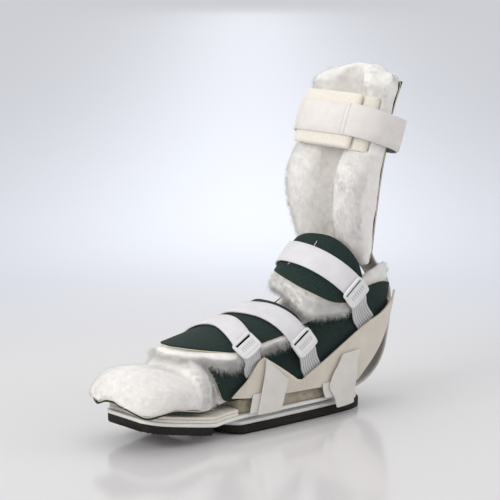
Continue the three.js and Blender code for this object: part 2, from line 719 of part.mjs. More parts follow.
// Closed round-cornered path of the strap, grown outward by a distance
function loopPath(grow) {
  const corner = LOOP.corner + grow;
  const points = [];
  const corners = [
    { x: LOOP.half - LOOP.corner, a: -LOOP.front + LOOP.corner, from: -90 },
    { x: LOOP.half - LOOP.corner, a: LOOP.back - LOOP.corner, from: 0 },
    { x: -LOOP.half + LOOP.corner, a: LOOP.back - LOOP.corner, from: 90 },
    { x: -LOOP.half + LOOP.corner, a: -LOOP.front + LOOP.corner, from: 180 },
  ];
  for (const place of corners) {
    for (let i = 0; i <= 6; i++) {
      const angle = rad(place.from + i * 15);
      points.push({ x: place.x + corner * Math.cos(angle), a: place.a + corner * Math.sin(angle) });
    }
  }
  return points;
}

function strapGrid(path) {
  return path.map((p) => [-0.5, 0.5].map((k) => loopPlace(p.x, p.a, k * LOOP.width)));
}

function addCalfStrap() {
  const ring = solidBetween(strapGrid(loopPath(STRAP)), strapGrid(loopPath(0)), true);
  addPiece('calf_strap', ring, LOOKS.strap);
  const lift = STRAP + GAP;
  const tail = (grow) => {
    const path = loopPath(grow);
    const front = { x: LOOP_TAIL_START, a: path[0].a };
    return strapGrid([front, ...path.slice(0, 10)]);
  };
  addPiece('calf_strap_tail', solidBetween(tail(lift + STRAP), tail(lift)), LOOKS.strap);
}

// Felt pad behind the front of the strap, curved back at its ends
function feltPad(range, start) {
  const columns = 10;
  const face = (depth) => Array.from({ length: columns + 1 }, (_, i) => {
    const x = lerp(range[0], range[1], i / columns);
    const round = Math.max(Math.abs(x) - LOOP.half + LOOP.corner, 0);
    const bow = LOOP.corner - Math.sqrt(LOOP.corner ** 2 - round ** 2);
    return [-0.5, 0.5].map((k) => loopPlace(x, -LOOP.front + depth + bow, k * FELT.height));
  });
  return solidBetween(face(start), face(start + FELT.thick));
}

function addFeltPads() {
  addPiece('calf_pad_outer', feltPad(FELT.outer, FELT.gap), LOOKS.felt);
  addPiece('calf_pad_inner', feltPad(FELT.inner, 2 * FELT.gap + FELT.thick), LOOKS.felt);
}

// Flat ribbon along a row of points with their outward normals
function ribbon(points, normals, width, thick) {
  const grid = (d) => points.map((point, i) => {
    const before = points[Math.max(i - 1, 0)];
    const after = points[Math.min(i + 1, points.length - 1)];
    const along = after.clone().sub(before).normalize();
    const wide = normals[i].clone().cross(along).normalize();
    const centre = point.clone().addScaledVector(normals[i], d);
    return [-0.5, 0.5].map((k) => centre.clone().addScaledVector(wide, k * width));
  });
  return solidBetween(grid(thick), grid(0));
}

// Ladder buckle: a round-cornered frame with one slot
function buckleGeometry() {
  const w = BUCKLE.width / 2;
  const l = BUCKLE.length / 2;
  const c = BUCKLE.corner;
  const outline = new THREE.Shape();
  outline.moveTo(-w + c, -l);
  outline.lineTo(w - c, -l);
  outline.quadraticCurveTo(w, -l, w, -l + c);
  outline.lineTo(w, l - c);
  outline.quadraticCurveTo(w, l, w - c, l);
  outline.lineTo(-w + c, l);
  outline.quadraticCurveTo(-w, l, -w, l - c);
  outline.lineTo(-w, -l + c);
  outline.quadraticCurveTo(-w, -l, -w + c, -l);
  const slot = new THREE.Path();
  const s = BUCKLE.slotWide / 2;
  slot.moveTo(-s, BUCKLE.slotPlace);
  slot.lineTo(-s, BUCKLE.slotPlace + BUCKLE.slot);
  slot.lineTo(s, BUCKLE.slotPlace + BUCKLE.slot);
  slot.lineTo(s, BUCKLE.slotPlace);
  slot.closePath();
  outline.holes.push(slot);
  const options = { depth: BUCKLE.thick, bevelEnabled: false, curveSegments: 4 };
  const geometry = new THREE.ExtrudeGeometry(outline, options);
  geometry.deleteAttribute('normal');
  geometry.deleteAttribute('uv');
  return mergeVertices(geometry);
}

function addBuckle(name, point, normal, along) {
  const wide = normal.clone().cross(along).normalize();
  const down = wide.clone().cross(normal).normalize();
  const frame = new THREE.Matrix4().makeBasis(wide, down.negate(), normal);
  frame.setPosition(point);
  if (frame.determinant() < 0) frame.makeBasis(wide.negate(), down, normal).setPosition(point);
  addPiece(name, buckleGeometry().applyMatrix4(frame), LOOKS.buckle);
}

// Strap over the instep, its buckle on the near shoulder and the elastic under the panel
function addFootStrap(strap) {
  const strapRows = [];
  const places = [
    { t: strap.buckleT, y: strap.near },
    { t: (strap.buckleT + 90) / 2, y: strap.mid },
    { t: 90, y: strap.top },
    { t: 180, y: strap.far },
  ];
  const steps = 16;
  for (let i = 0; i <= steps; i++) {
    const t = lerp(strap.buckleT + STRAP_START, FAR_END_T, i / steps);
    const down = ease(clamp01((t - STRAP_DROP.from) / STRAP_DROP.run));
    const y = readSmooth(places, 't', t, 'y', 10);
    const lift = lerp(ON_FLAP, AT_BUCKLE, ease(clamp01((FLAP_EDGE_T - t) / FLAP_EDGE_RUN)));
    strapRows.push(instepOffset(t, y, lerp(lift, UNDER_PANEL, down)));
  }
  const points = strapRows.map((row) => row.point);
  const normals = strapRows.map((row) => row.normal);
  addPiece('strap_' + strap.name, ribbon(points, normals, STRAP_WIDTH, STRAP), LOOKS.strap);

  const elasticRows = [];
  const seatLift = lerp(ON_FLAP, AT_BUCKLE, ease(clamp01((FLAP_EDGE_T - strap.buckleT) / FLAP_EDGE_RUN)));
  for (let i = 0; i <= 8; i++) {
    const k = i / 8;
    const t = lerp(strap.buckleT + ELASTIC_START, strap.endT, k);
    const down = ease(clamp01((k - ELASTIC_DROP.from) / ELASTIC_DROP.run));
    const y = lerp(strap.near, strap.end, k);
    elasticRows.push(instepOffset(t, y, lerp(seatLift, UNDER_PANEL, down)));
  }
  const elasticPoints = elasticRows.map((row) => row.point);
  const elasticNormals = elasticRows.map((row) => row.normal);
  const band = ribbon(elasticPoints, elasticNormals, ELASTIC_WIDTH, ELASTIC);
  addPiece('elastic_' + strap.name, band, LOOKS.elastic);

  const seat = instepOffset(strap.buckleT + 1, strap.near, seatLift + STRAP + 3 * GAP);
  const down = elasticPoints[1].clone().sub(points[1]).normalize();
  const toEnd = elasticPoints.at(-1).clone().sub(points[0]).normalize();
  const along = down.lerp(toEnd, strap.turn).normalize();
  addBuckle('buckle_' + strap.name, seat.point, seat.normal, along);
}

// Strap round the ankle pad, its buckle and its elastic
function addAnkleStrap() {
  const lift = LAYER_GAP + GAP;
  const rows = [];
  const pads = ANKLE_STRAP.pad;
  for (let i = 0; i <= 14; i++) {
    const t = lerp(pads[0].t, pads.at(-1).t, i / 14);
    rows.push(ankleOffset(t, readSmooth(pads, 't', t, 's', 8), lift));
  }
  for (const place of ANKLE_STRAP.far) {
    const point = new THREE.Vector3(place.x, place.y, place.z);
    rows.push({ point, normal: ANKLE_STRAP.farNormal });
  }
  const strap = ribbon(rows.map((r) => r.point), rows.map((r) => r.normal), STRAP_WIDTH, STRAP);
  addPiece('strap_ankle', strap, LOOKS.strap);

  const points = ANKLE_STRAP.elastic.map((p) => new THREE.Vector3(p.x, p.y, p.z));
  const smooth = new THREE.CatmullRomCurve3(points).getPoints(8);
  const normals = smooth.map(() => ANKLE_STRAP.nearNormal);
  addPiece('elastic_ankle', ribbon(smooth, normals, ELASTIC_WIDTH, ELASTIC), LOOKS.elastic);

  const seat = ankleOffset(ANKLE_STRAP.buckle.t, ANKLE_STRAP.buckle.s, lift + STRAP + 2 * GAP);
  const along = smooth[2].clone().sub(rows[2].point).normalize();
  addBuckle('buckle_ankle', seat.point, seat.normal, along);
}

addSole();
addHeelBar();
addBoot();
addDorsalFlap();
addInnerSole();
addHolding();
addAnklePad();
addCalf();
addCalfStrap();
addFeltPads();
FOOT_STRAPS.forEach(addFootStrap);
addAnkleStrap();

export default model;
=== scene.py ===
import math
from collections import namedtuple

import bmesh
import bpy
import numpy as np
from mathutils import Euler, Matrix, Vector, noise
from mathutils.bvhtree import BVHTree


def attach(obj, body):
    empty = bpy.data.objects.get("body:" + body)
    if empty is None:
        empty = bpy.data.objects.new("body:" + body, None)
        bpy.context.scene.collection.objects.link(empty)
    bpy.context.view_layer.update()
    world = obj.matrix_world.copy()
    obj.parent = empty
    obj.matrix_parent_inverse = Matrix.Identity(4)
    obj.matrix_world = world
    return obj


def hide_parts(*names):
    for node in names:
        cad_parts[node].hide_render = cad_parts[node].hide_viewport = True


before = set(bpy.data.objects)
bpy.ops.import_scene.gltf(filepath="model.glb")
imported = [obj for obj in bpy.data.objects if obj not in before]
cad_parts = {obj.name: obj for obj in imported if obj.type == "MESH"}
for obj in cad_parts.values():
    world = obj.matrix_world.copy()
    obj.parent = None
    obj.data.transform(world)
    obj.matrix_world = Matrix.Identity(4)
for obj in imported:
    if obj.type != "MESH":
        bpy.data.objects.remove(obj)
for spare in ("Cube", "Light", "Camera"):  # what an empty Blender file starts with
    if spare in bpy.data.objects:
        bpy.data.objects.remove(bpy.data.objects[spare])
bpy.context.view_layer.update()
MM = 0.001
FOOT_STRAP = 25 * MM


# Materials

def linear(r, g, b):
    """Colour from 0 to 255 screen values."""
    parts = [v / 255 for v in (r, g, b)]
    return tuple(v / 12.92 if v < 0.04045 else ((v + 0.055) / 1.055) ** 2.4 for v in parts) + (1.0,)


class Material:
    """A procedural material: colour and roughness from noise, bump from one or more textures."""

    def __init__(self, name, roughness, specular=0.5, sheen=0.0):
        self.material = bpy.data.materials.new(name)
        self.material.use_nodes = True
        self.nodes = self.material.node_tree.nodes
        self.links = self.material.node_tree.links
        self.shader = self.nodes["Principled BSDF"]
        self.shader.inputs["Roughness"].default_value = roughness
        self.shader.inputs["Specular IOR Level"].default_value = specular
        self.shader.inputs["Sheen Weight"].default_value = sheen
        self.shader.inputs["Sheen Roughness"].default_value = 0.6
        self.place = self.nodes.new("ShaderNodeTexCoord").outputs["Object"]
        self.height = None

    def stretched(self, scale):
        mapping = self.nodes.new("ShaderNodeMapping")
        mapping.inputs["Scale"].default_value = scale
        self.links.new(self.place, mapping.inputs["Vector"])
        return mapping.outputs["Vector"]

    def noise(self, size, detail=2.0, scale=None):
        """Noise with features of a size in metres."""
        node = self.nodes.new("ShaderNodeTexNoise")
        node.inputs["Scale"].default_value = 1 / size
        node.inputs["Detail"].default_value = detail
        self.links.new(self.stretched(scale) if scale else self.place, node.inputs["Vector"])
        return node.outputs["Fac"]

    def cells(self, size):
        node = self.nodes.new("ShaderNodeTexVoronoi")
        node.inputs["Scale"].default_value = 1 / size
        self.links.new(self.place, node.inputs["Vector"])
        return node.outputs["Distance"]

    def colour(self, fac, stops):
        """Base colour read off a ramp: rows of place and colour."""
        ramp = self.nodes.new("ShaderNodeValToRGB")
        ramp.color_ramp.elements[0].position, ramp.color_ramp.elements[1].position = stops[0][0], stops[-1][0]
        ramp.color_ramp.elements[0].color, ramp.color_ramp.elements[1].color = stops[0][1], stops[-1][1]
        for place, value in stops[1:-1]:
            ramp.color_ramp.elements.new(place).color = value
        self.links.new(fac, ramp.inputs["Fac"])
        self.links.new(ramp.outputs["Color"], self.shader.inputs["Base Color"])
        return self

    def bump(self, fac, depth, strength=1.0):
        node = self.nodes.new("ShaderNodeBump")
        node.inputs["Distance"].default_value = depth
        node.inputs["Strength"].default_value = strength
        self.links.new(fac, node.inputs["Height"])
        if self.height:
            self.links.new(self.height, node.inputs["Normal"])
        self.height = node.outputs["Normal"]
        self.links.new(self.height, self.shader.inputs["Normal"])
        return self

    def rough(self, fac, low, high):
        """Roughness that varies over the surface."""
        node = self.nodes.new("ShaderNodeMapRange")
        node.inputs["To Min"].default_value = low
        node.inputs["To Max"].default_value = high
        self.links.new(fac, node.inputs["Value"])
        self.links.new(node.outputs["Result"], self.shader.inputs["Roughness"])
        return self


def knit_material():
    m = Material("green_knit", 0.9, 0.15, 0.05)
    dark, mid, fluff = linear(25, 39, 36), linear(38, 54, 50), linear(66, 80, 75)
    m.colour(m.noise(1.3 * MM, 4), [(0.3, dark), (0.62, mid), (0.8, fluff)])
    return m.bump(m.cells(0.9 * MM), 0.25 * MM, 0.6).bump(m.noise(14 * MM), 0.7 * MM, 0.5).material


def trim_material():
    m = Material("cream_trim", 0.8, 0.3)
    m.colour(m.noise(2 * MM, 3), [(0.3, linear(214, 200, 168)), (0.7, linear(236, 225, 198))])
    return m.bump(m.noise(0.8 * MM), 0.15 * MM, 0.5).material


def pile_material():
    m = Material("fleece_pile", 1.0, 0.1, 0.3)
    m.colour(m.noise(7 * MM, 5), [(0.25, linear(230, 226, 221)), (0.6, linear(243, 240, 236))])
    m.shader.inputs["Subsurface Weight"].default_value = 0.35
    m.shader.inputs["Subsurface Radius"].default_value = (1.0, 0.95, 0.9)
    m.shader.inputs["Subsurface Scale"].default_value = 4 * MM
    return m.bump(m.noise(9 * MM, 3), 1.5 * MM, 0.2).bump(m.noise(1.3 * MM, 4), 0.5 * MM, 0.3).material


def fibre_material():
    m = Material("fleece_fibre", 1.0, 0.1, 0.3)
    # White fibres, set a little lighter than the pile as painted light that offsets the shade the spikes cast
    # on one another
    m.colour(m.noise(9 * MM, 3), [(0.3, linear(240, 238, 234)), (0.7, linear(250, 249, 246))])
    return m.material


def vinyl_material():
    m = Material("cream_vinyl", 0.5, 0.45)
    m.colour(m.noise(24 * MM, 3), [(0.3, linear(211, 202, 188)), (0.7, linear(222, 214, 201))])
    m.rough(m.noise(5 * MM), 0.42, 0.62)
    return m.bump(m.cells(1.4 * MM), 0.06 * MM, 0.5).bump(m.noise(20 * MM), 0.8 * MM, 0.35).material


def strap_material(name, dark, light):
    m = Material(name, 0.7, 0.35, 0.1)
    m.colour(m.noise(16 * MM, 3), [(0.3, dark), (0.7, light)])
    m.bump(m.noise(0.7 * MM, 2), 0.07 * MM, 0.6)
    return m.bump(m.noise(18 * MM), 0.6 * MM, 0.3).material


def felt_material():
    m = Material("cream_felt", 0.95, 0.15, 0.3)
    m.colour(m.noise(3 * MM, 4), [(0.3, linear(229, 222, 208)), (0.7, linear(239, 233, 222))])
    return m.bump(m.noise(1.1 * MM, 4), 0.35 * MM, 0.6).material


def plastic_material(name, dark, light, low, high):
    m = Material(name, low, 0.5)
    m.colour(m.noise(30 * MM, 3), [(0.35, dark), (0.65, light)])
    m.rough(m.noise(8 * MM, 3), low, high)
    return m.bump(m.noise(1.5 * MM, 2), 0.03 * MM, 0.5).material


def rubber_material():
    m = Material("sole_rubber", 0.8, 0.35)
    grain = m.noise(2 * MM, 4, (1, 1, 0.25))
    m.colour(grain, [(0.3, linear(20, 17, 15)), (0.7, linear(38, 33, 30))])
    return m.bump(grain, 0.5 * MM, 0.8).material


# Khaki foam tone darkened to olive: partly the foam's own colour, partly painted shade under the panel edge
# and in the gap between the plates
def foam_and_shade_material():
    m = Material("olive_foam", 0.9, 0.2)
    m.colour(m.noise(5 * MM, 4), [(0.3, linear(150, 141, 122)), (0.7, linear(181, 172, 152))])
    return m.bump(m.noise(1.2 * MM, 3), 0.3 * MM, 0.6).material


def dark_material():
    m = Material("slot_shade", 0.9, 0.1)
    m.colour(m.noise(3 * MM), [(0.3, linear(8, 8, 9)), (0.7, linear(16, 16, 17))])
    return m.material


KNIT = knit_material()
TRIM = trim_material()
PILE = pile_material()
FIBRE = fibre_material()
VINYL = vinyl_material()
STRAP = strap_material("strap_cloth", linear(216, 214, 216), linear(226, 224, 226))
CALF_STRAP = strap_material("calf_strap_cloth", linear(224, 218, 213), linear(233, 228, 223))
TAB = strap_material("tab_cloth", linear(215, 211, 205), linear(224, 220, 215))
ELASTIC = strap_material("elastic_webbing", linear(208, 207, 208), linear(222, 221, 222))
# Darker grey painted along the elastic's grooves as shade
GROOVE_SHADE = strap_material("elastic_groove", linear(178, 176, 176), linear(192, 190, 190))
FELT = felt_material()
BUCKLE = plastic_material("buckle_plastic", linear(224, 224, 225), linear(233, 233, 234), 0.3, 0.42)
RUBBER = rubber_material()
PLATE = plastic_material("plate_plastic", linear(226, 226, 223), linear(236, 236, 233), 0.35, 0.5)
BAR = plastic_material("bar_plastic", linear(184, 178, 171), linear(196, 191, 184), 0.4, 0.55)
FOAM_AND_SHADE = foam_and_shade_material()
SHADE = dark_material()
# Grey painted into the short grooves of the buckle grip as shade
GRIP_SHADE = plastic_material("buckle_grip", linear(188, 185, 180), linear(200, 197, 192), 0.4, 0.5)


# Mesh helpers

def add_piece(name, mesh, materials, nodes=()):
    """New object for a mesh that rides on the part and stands for the given nodes."""
    for material in materials:
        mesh.materials.append(material)
    mesh.shade_smooth()
    piece = bpy.data.objects.new(name, mesh)
    bpy.context.scene.collection.objects.link(piece)
    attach(piece, "root")
    if nodes:
        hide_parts(*nodes)
    return piece


def cad_form(node):
    """Copy of a node's surface with its facets joined back into four-sided faces."""
    form = bmesh.new()
    form.from_mesh(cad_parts[node].data)
    bmesh.ops.remove_doubles(form, verts=form.verts, dist=0.02 * MM)
    limits = {"angle_face_threshold": math.radians(60), "angle_shape_threshold": math.pi}
    bmesh.ops.join_triangles(form, faces=form.faces[:], **limits)
    return form


def unit(rows):
    """Rows of directions brought to length 1."""
    return rows / (np.linalg.norm(rows, axis=1, keepdims=True) + 1e-12)


def rim_edges(form, thick, inside):
    """Inner edges of the narrow faces between the two sides of a sheet."""
    def across(edge):
        return 0.85 < edge.calc_length() / thick < 1.2
    form.edges.index_update()
    edges = {}
    for face in form.faces:
        pairs = [(face.edges[k], face.edges[k + 2]) for k in (0, 1)] if len(face.edges) == 4 else []
        if any(across(a) and across(b) for a, b in pairs):
            along = max(pairs, key=lambda pair: pair[0].calc_length())
            goal = inside(face.calc_center_median())
            inner = min(along, key=lambda e: ((e.verts[0].co + e.verts[1].co) / 2 - goal).length)
            edges[inner.index] = inner
    return list(edges.values())


def joined_lines(edges):
    """Lines of points made by joining edges end to end."""
    lines = []
    while edges:
        line = list(edges.pop(0).verts)
        grown = True
        while grown:
            grown = False
            for other in list(edges):
                for tip, put in ((line[-1], line.append), (line[0], lambda v: line.insert(0, v))):
                    if tip in other.verts and other in edges:
                        put(other.other_vert(tip))
                        edges.remove(other)
                        grown = True
        lines.append(np.array([v.co for v in line]))
    return lines


def bead(line, radius, sides=6):
    """Points and faces of a thin tube along a line of points, closed on itself where the line is."""
    ring = np.linalg.norm(line[0] - line[-1]) < 1e-6
    line = line[:-1] if ring else line
    soft = (np.roll(line, 1, 0) + 4 * line + np.roll(line, -1, 0)) / 6
    if not ring:
        soft[[0, -1]] = line[[0, -1]]
    path = spline(soft, 2.5 * MM, ring)
    ahead = np.roll(path, -1, 0) - np.roll(path, 1, 0)
    if not ring:
        ahead[0], ahead[-1] = path[1] - path[0], path[-1] - path[-2]
    side = unit(np.cross(unit(ahead), (0.21, 0.34, 0.91)))
    other = np.cross(unit(ahead), side)
    turns = (np.arange(sides) * 2 * math.pi / sides)[:, None]
    tube = path[:, None] + radius * (side[:, None] * np.cos(turns) + other[:, None] * np.sin(turns))
    count = len(path)
    faces = []
    for i in range(count if ring else count - 1):
        here, after = i * sides, (i + 1) % count * sides
        for k in range(sides):
            beside = (k + 1) % sides
            faces.append([here + k, here + beside, after + beside, after + k])
    if not ring:
        faces.append(list(range(sides))[::-1])
        faces.append([(count - 1) * sides + k for k in range(sides)])
    return tube.reshape(-1, 3), faces


def add_piping(node, lines, radius):
    """Thin cream bead along the cut edge of a cover."""
    points, faces, start = [], [], 0
    for line in lines:
        tube, sides = bead(line, radius)
        points.append(tube)
        faces += [[start + k for k in face] for face in sides]
        start += len(tube)
    mesh = bpy.data.meshes.new(node + "_piping")
    mesh.from_pydata(np.concatenate(points).tolist(), [], faces)
    add_piece(node + "_piping", mesh, [TRIM])


def subdivided(form, name, levels, crease, angle=45):
    """Mesh with rounded faces, its sharp edges held by a crease."""
    hold = form.edges.layers.float.new("crease_edge")
    for edge in form.edges:
        if edge.is_manifold and edge.calc_face_angle() > math.radians(angle):
            edge[hold] = crease
    rough = bpy.data.meshes.new(name + "_rough")
    form.to_mesh(rough)
    form.free()
    helper = bpy.data.objects.new(name + "_rough", rough)
    bpy.context.scene.collection.objects.link(helper)
    modifier = helper.modifiers.new("round", "SUBSURF")
    modifier.levels = modifier.render_levels = levels
    graph = bpy.context.evaluated_depsgraph_get()
    mesh = bpy.data.meshes.new_from_object(helper.evaluated_get(graph))
    mesh.name = name
    bpy.data.objects.remove(helper)
    bpy.data.meshes.remove(rough)
    return mesh


def read_points(mesh, what="co"):
    """Places of a mesh's points, or their normals."""
    values = np.empty(len(mesh.vertices) * 3)
    mesh.vertices.foreach_get(what, values)
    return values.reshape(-1, 3)


def swell(mesh, waves, puff=None, tree=None):
    """Moves points along their normals by noise, rows of size and depth, and by a puff in mm.

    Where a tree of neighbours is given, points stop short of them."""
    gap, look = 0.4 * MM, 0.5 * MM
    points = read_points(mesh)
    normals = read_points(mesh, "normal")
    lift = puff(points / MM, normals) * MM if puff else np.zeros(len(points))
    for size, depth in waves:
        lift += depth * np.array([noise.noise(Vector(p / size)) for p in points])
    if tree:
        for k in np.nonzero(lift > 0)[0]:
            hit = tree.ray_cast(Vector(points[k]), Vector(normals[k]), lift[k] + look)[3]
            if hit is not None:
                lift[k] = max(hit - gap, 0)
    mesh.vertices.foreach_set("co", (points + normals * lift[:, None]).ravel())
    mesh.update()


def node_tree(node):
    """Search tree of one solid."""
    form = bmesh.new()
    form.from_mesh(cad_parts[node].data)
    tree = BVHTree.FromBMesh(form)
    form.free()
    return tree


def hold_in(mesh, tree):
    """Brings points that stand proud of a solid back to its surface."""
    points = read_points(mesh)
    for k, point in enumerate(points):
        hit, normal, _, _ = tree.find_nearest(Vector(point))
        if (Vector(point) - hit).dot(normal) > 0:
            points[k] = hit
    mesh.vertices.foreach_set("co", points.ravel())
    mesh.update()


def closed_mesh(name, points, faces):
    """Mesh of a closed form with its faces turned outward."""
    mesh = bpy.data.meshes.new(name)
    mesh.from_pydata(points.tolist(), [], faces)
    form = bmesh.new()
    form.from_mesh(mesh)
    bmesh.ops.recalc_face_normals(form, faces=form.faces)
    form.to_mesh(mesh)
    form.free()
    return mesh


def loft_mesh(name, loops, ring=False):
    """Closed mesh through rows of closed loops, capped at both ends unless it is a ring."""
    rows, around = loops.shape[:2]
    i, j = np.meshgrid(np.arange(rows if ring else rows - 1), np.arange(around), indexing="ij")
    after, beside = (i + 1) % rows, (j + 1) % around
    quads = np.stack([i * around + j, i * around + beside, after * around + beside, after * around + j], -1)
    faces = quads.reshape(-1, 4).tolist()
    if not ring:
        faces += [list(range(around))[::-1], list(range((rows - 1) * around, rows * around))]
    return closed_mesh(name, loops.reshape(-1, 3), faces)


def spline(points, step, ring=False):
    """Smooth line through rows of values, read at an even step along the first three."""
    if ring:
        p = np.concatenate([points[-1:], points, points[:2]])
    else:
        p = np.concatenate([2 * points[:1] - points[1:2], points, 2 * points[-1:] - points[-2:-1]])
    fine = []
    for k in range(1, len(p) - 2):
        count = max(2, int(np.linalg.norm(p[k + 1, :3] - p[k, :3]) / step) + 1)
        t = np.linspace(0, 1, count, endpoint=False)[:, None]
        a, b, c, d = p[k - 1], p[k], p[k + 1], p[k + 2]
        bend, twist = 2 * a - 5 * b + 4 * c - d, 3 * b - a - 3 * c + d
        fine.append(0.5 * (2 * b + (c - a) * t + bend * t**2 + twist * t**3))
    if not ring:
        fine.append(p[-2:-1])
    return np.concatenate(fine)


def eased_step(value, start, run):
    """Smooth rise from 0 at the start to 1 after the run."""
    t = np.clip((value - start) / run, 0, 1)
    return t * t * (3 - 2 * t)


# Ribbons: straps, felt pads and the heel bar

def walked_rows(row):
    """Points of a ribbon row by row, from its first row of four on. A closed ribbon is walked towards -X."""
    seen, rows = set(), []
    while True:
        rows.append([v.co.copy() for v in row])
        seen.update(row)
        ahead = [[e.other_vert(v) for e in v.link_edges if e.other_vert(v) not in seen] for v in row]
        if not all(ahead):
            return np.array(rows)
        row = [min(a, key=lambda w: w.co.x) if len(rows) == 1 else a[0] for a in ahead]


def outward_rows(rows, inside):
    """Left edge, right edge and outward direction of each row of a ribbon."""
    faces = rows[:, :2].mean(1), rows[:, 2:].mean(1)
    away = [np.linalg.norm(p - np.array([inside(q) for q in p]), axis=1).mean() for p in faces]
    if away[0] < away[1]:
        rows = rows[:, [3, 2, 1, 0]]
    out = rows[:, :2].mean(1) - rows[:, 2:].mean(1)
    return np.concatenate([rows[:, 0], rows[:, 1], out], 1)


def ribbon_rows(node, inside):
    """Rows of a ribbon node from its lower end to the other."""
    form = cad_form(node)
    ends = [f for f in form.faces if all(len(v.link_edges) == 3 for v in f.verts)]
    row = list(min(ends, key=lambda f: f.calc_center_median().z).verts)
    if (row[0].co - row[1].co).length < (row[1].co - row[2].co).length:
        row = row[1:] + row[:1]
    rows = walked_rows(row)
    form.free()
    return outward_rows(rows, inside)


def loop_rows(node, width, inside):
    """Rows of a ribbon node that closes on itself."""
    form = cad_form(node)
    rungs = [e for e in form.edges if abs(e.calc_length() - width) < 0.01 * width]
    left, right = min(rungs, key=lambda e: e.verts[0].co.y).verts

    def under(vert):
        return min(vert.link_edges, key=lambda e: e.calc_length()).other_vert(vert)
    rows = walked_rows([left, right, under(right), under(left)])
    form.free()
    return outward_rows(rows, inside)


def ribbon_mesh(name, rows, profile, step=2 * MM, ring=False, blunt=0.0):
    """Sweep of a cross-section, rows of place across (-1 to 1) and share of the thickness, along a ribbon."""
    fine = spline(rows, step, ring)
    left, right, out = fine[:, :3], fine[:, 3:6], fine[:, 6:]
    across = np.array([p[0] for p in profile])
    height = np.array([p[1] for p in profile])
    if blunt:
        run = np.concatenate([[0], np.cumsum(np.linalg.norm(np.diff(left + right, axis=0), axis=1) / 2)])
        inner = np.clip(1 - np.minimum(run, run[-1] - run) / blunt, 0, 1)
        pull = blunt * (1 - np.sqrt(1 - 0.98 * inner**2))
        half = np.linalg.norm(right - left, axis=1) / 2
        thick = np.linalg.norm(out, axis=1)
        across = across[None] * (1 - pull / half)[:, None]
        height = -0.5 + (height[None] + 0.5) * np.clip(1 - 2 * pull / thick, 0.12, 1)[:, None]
    else:
        across, height = across[None], height[None]
    share = ((across + 1) / 2)[..., None]
    loops = left[:, None] * (1 - share) + right[:, None] * share + out[:, None] * height[..., None]
    return loft_mesh(name, loops, ring), rows_length(fine)


def rows_length(rows):
    """Length of a ribbon along its middle."""
    return float(np.linalg.norm(np.diff((rows[:, :3] + rows[:, 3:6]) / 2, axis=0), axis=1).sum())


def strap_profile(crown, edge=0.03):
    """Flat band with rounded edges."""
    top = [(-1, -0.5), (-1 + edge / 3, -0.15), (-1 + edge, 0), (-0.5, crown * 0.75), (0, crown),
           (0.5, crown * 0.75), (1 - edge, 0), (1 - edge / 3, -0.15), (1, -0.5)]
    under = [(1 - edge / 3, -0.85), (1 - edge, -1), (0, -1), (-1 + edge, -1), (-1 + edge / 3, -0.85)]
    return top + under


def ribbed_profile(ribs, depth):
    """Band whose face carries ribs along its length, four points to each."""
    half = 0.96
    pitch = 2 * half / ribs
    top = [(-half + pitch * (k + place), -depth * low) for k in range(ribs)
           for place, low in ((0.02, 1), (0.2, 0.15), (0.52, 0), (0.84, 0.15))]
    return [(-1, -0.5), *top, (1, -0.5), (0.97, -1), (-0.97, -1)]


def paint_groove_shade(mesh, profile):
    """Second material, a darker grey painted as shade, on the two sides of each groove of a ribbed band, not
    on its ends and underside.
    """
    column = np.arange(len(mesh.polygons)) % len(profile)
    groove = (column < len(profile) - 3) & (column % 4 < 2)
    groove[-2:] = False
    mesh.polygons.foreach_set("material_index", groove.astype(np.int32))


# Points inside the part, level with a given one, that tell the inner face of a piece from its outer face

def inside_foot(p):
    return np.array([0, p[1], 0.055])


def inside_ankle(p):
    return np.array([0, 0.105, 0.12])


def inside_calf(p):
    return np.array([0, 0.132, p[2]])


def inside_heel(p):
    return np.array([0, 0.08, 0.17])


def add_ribbon(node, inside, profile, material, blunt=0.0):
    """Band swept along its solid, with a flat length measured on the way."""
    rows = ribbon_rows(node, inside)
    mesh, length = ribbon_mesh(node + "_cloth", rows, profile, blunt=blunt)
    piece = add_piece(node + "_cloth", mesh, [material], [node])


def add_straps():
    """The three foot straps."""
    for name, inside, below in (("forefoot", inside_foot, "dorsal_cover"),
                                ("instep", inside_foot, "dorsal_cover"),
                                ("ankle", inside_ankle, "ankle_cover")):
        add_ribbon("strap_" + name, inside, strap_profile(0.25), STRAP)


def add_calf_strap():
    """Wide calf strap, its overlapping tail and the two felt pads under it."""
    wide, band_profile = 33 * MM, strap_profile(0.2, 0.02)
    ring = loop_rows("calf_strap", wide, inside_calf)
    mesh, length = ribbon_mesh("calf_strap_cloth", ring, band_profile, ring=True)
    band = add_piece("calf_strap_cloth", mesh, [CALF_STRAP], ["calf_strap"])
    add_ribbon("calf_strap_tail", inside_calf, band_profile, CALF_STRAP)
    rounded = [(-1, -0.5), (-0.985, -0.25), (-0.95, -0.08), (-0.88, 0), (0, 0.04), (0.88, 0), (0.95, -0.08),
               (0.985, -0.25), (1, -0.5), (0.985, -0.75), (0.95, -0.92), (0.88, -1), (0, -1), (-0.88, -1),
               (-0.95, -0.92), (-0.985, -0.75)]
    for node in ("calf_pad_outer", "calf_pad_inner"):
        add_ribbon(node, inside_calf, rounded, FELT, 2.8 * MM)


def add_heel_bar():
    """Flat bar that stands off behind the heel and runs up behind the calf."""
    rows = ribbon_rows("heel_bar", inside_heel)
    mesh, _ = ribbon_mesh("heel_bar_strip", rows, strap_profile(0.0, 0.05), step=3 * MM, blunt=1.2 * MM)
    add_piece("heel_bar_strip", mesh, [BAR], ["heel_bar"])


# Buckles and elastics

def buckle_place(name, inside):
    """Centre of a buckle, its outward direction, its direction towards the elastic and the one across."""
    corners = read_points(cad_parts["buckle_" + name].data)
    centre = (corners.max(0) + corners.min(0)) / 2
    _, _, axes = np.linalg.svd(corners - corners.mean(0), full_matrices=False)
    normal = axes[2] * np.sign(axes[2] @ (centre - inside(centre)))
    elastic = read_points(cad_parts["elastic_" + name].data).mean(0)
    along = axes[1] * np.sign(axes[1] @ (elastic - centre))
    return centre, normal, along, np.cross(along, normal)


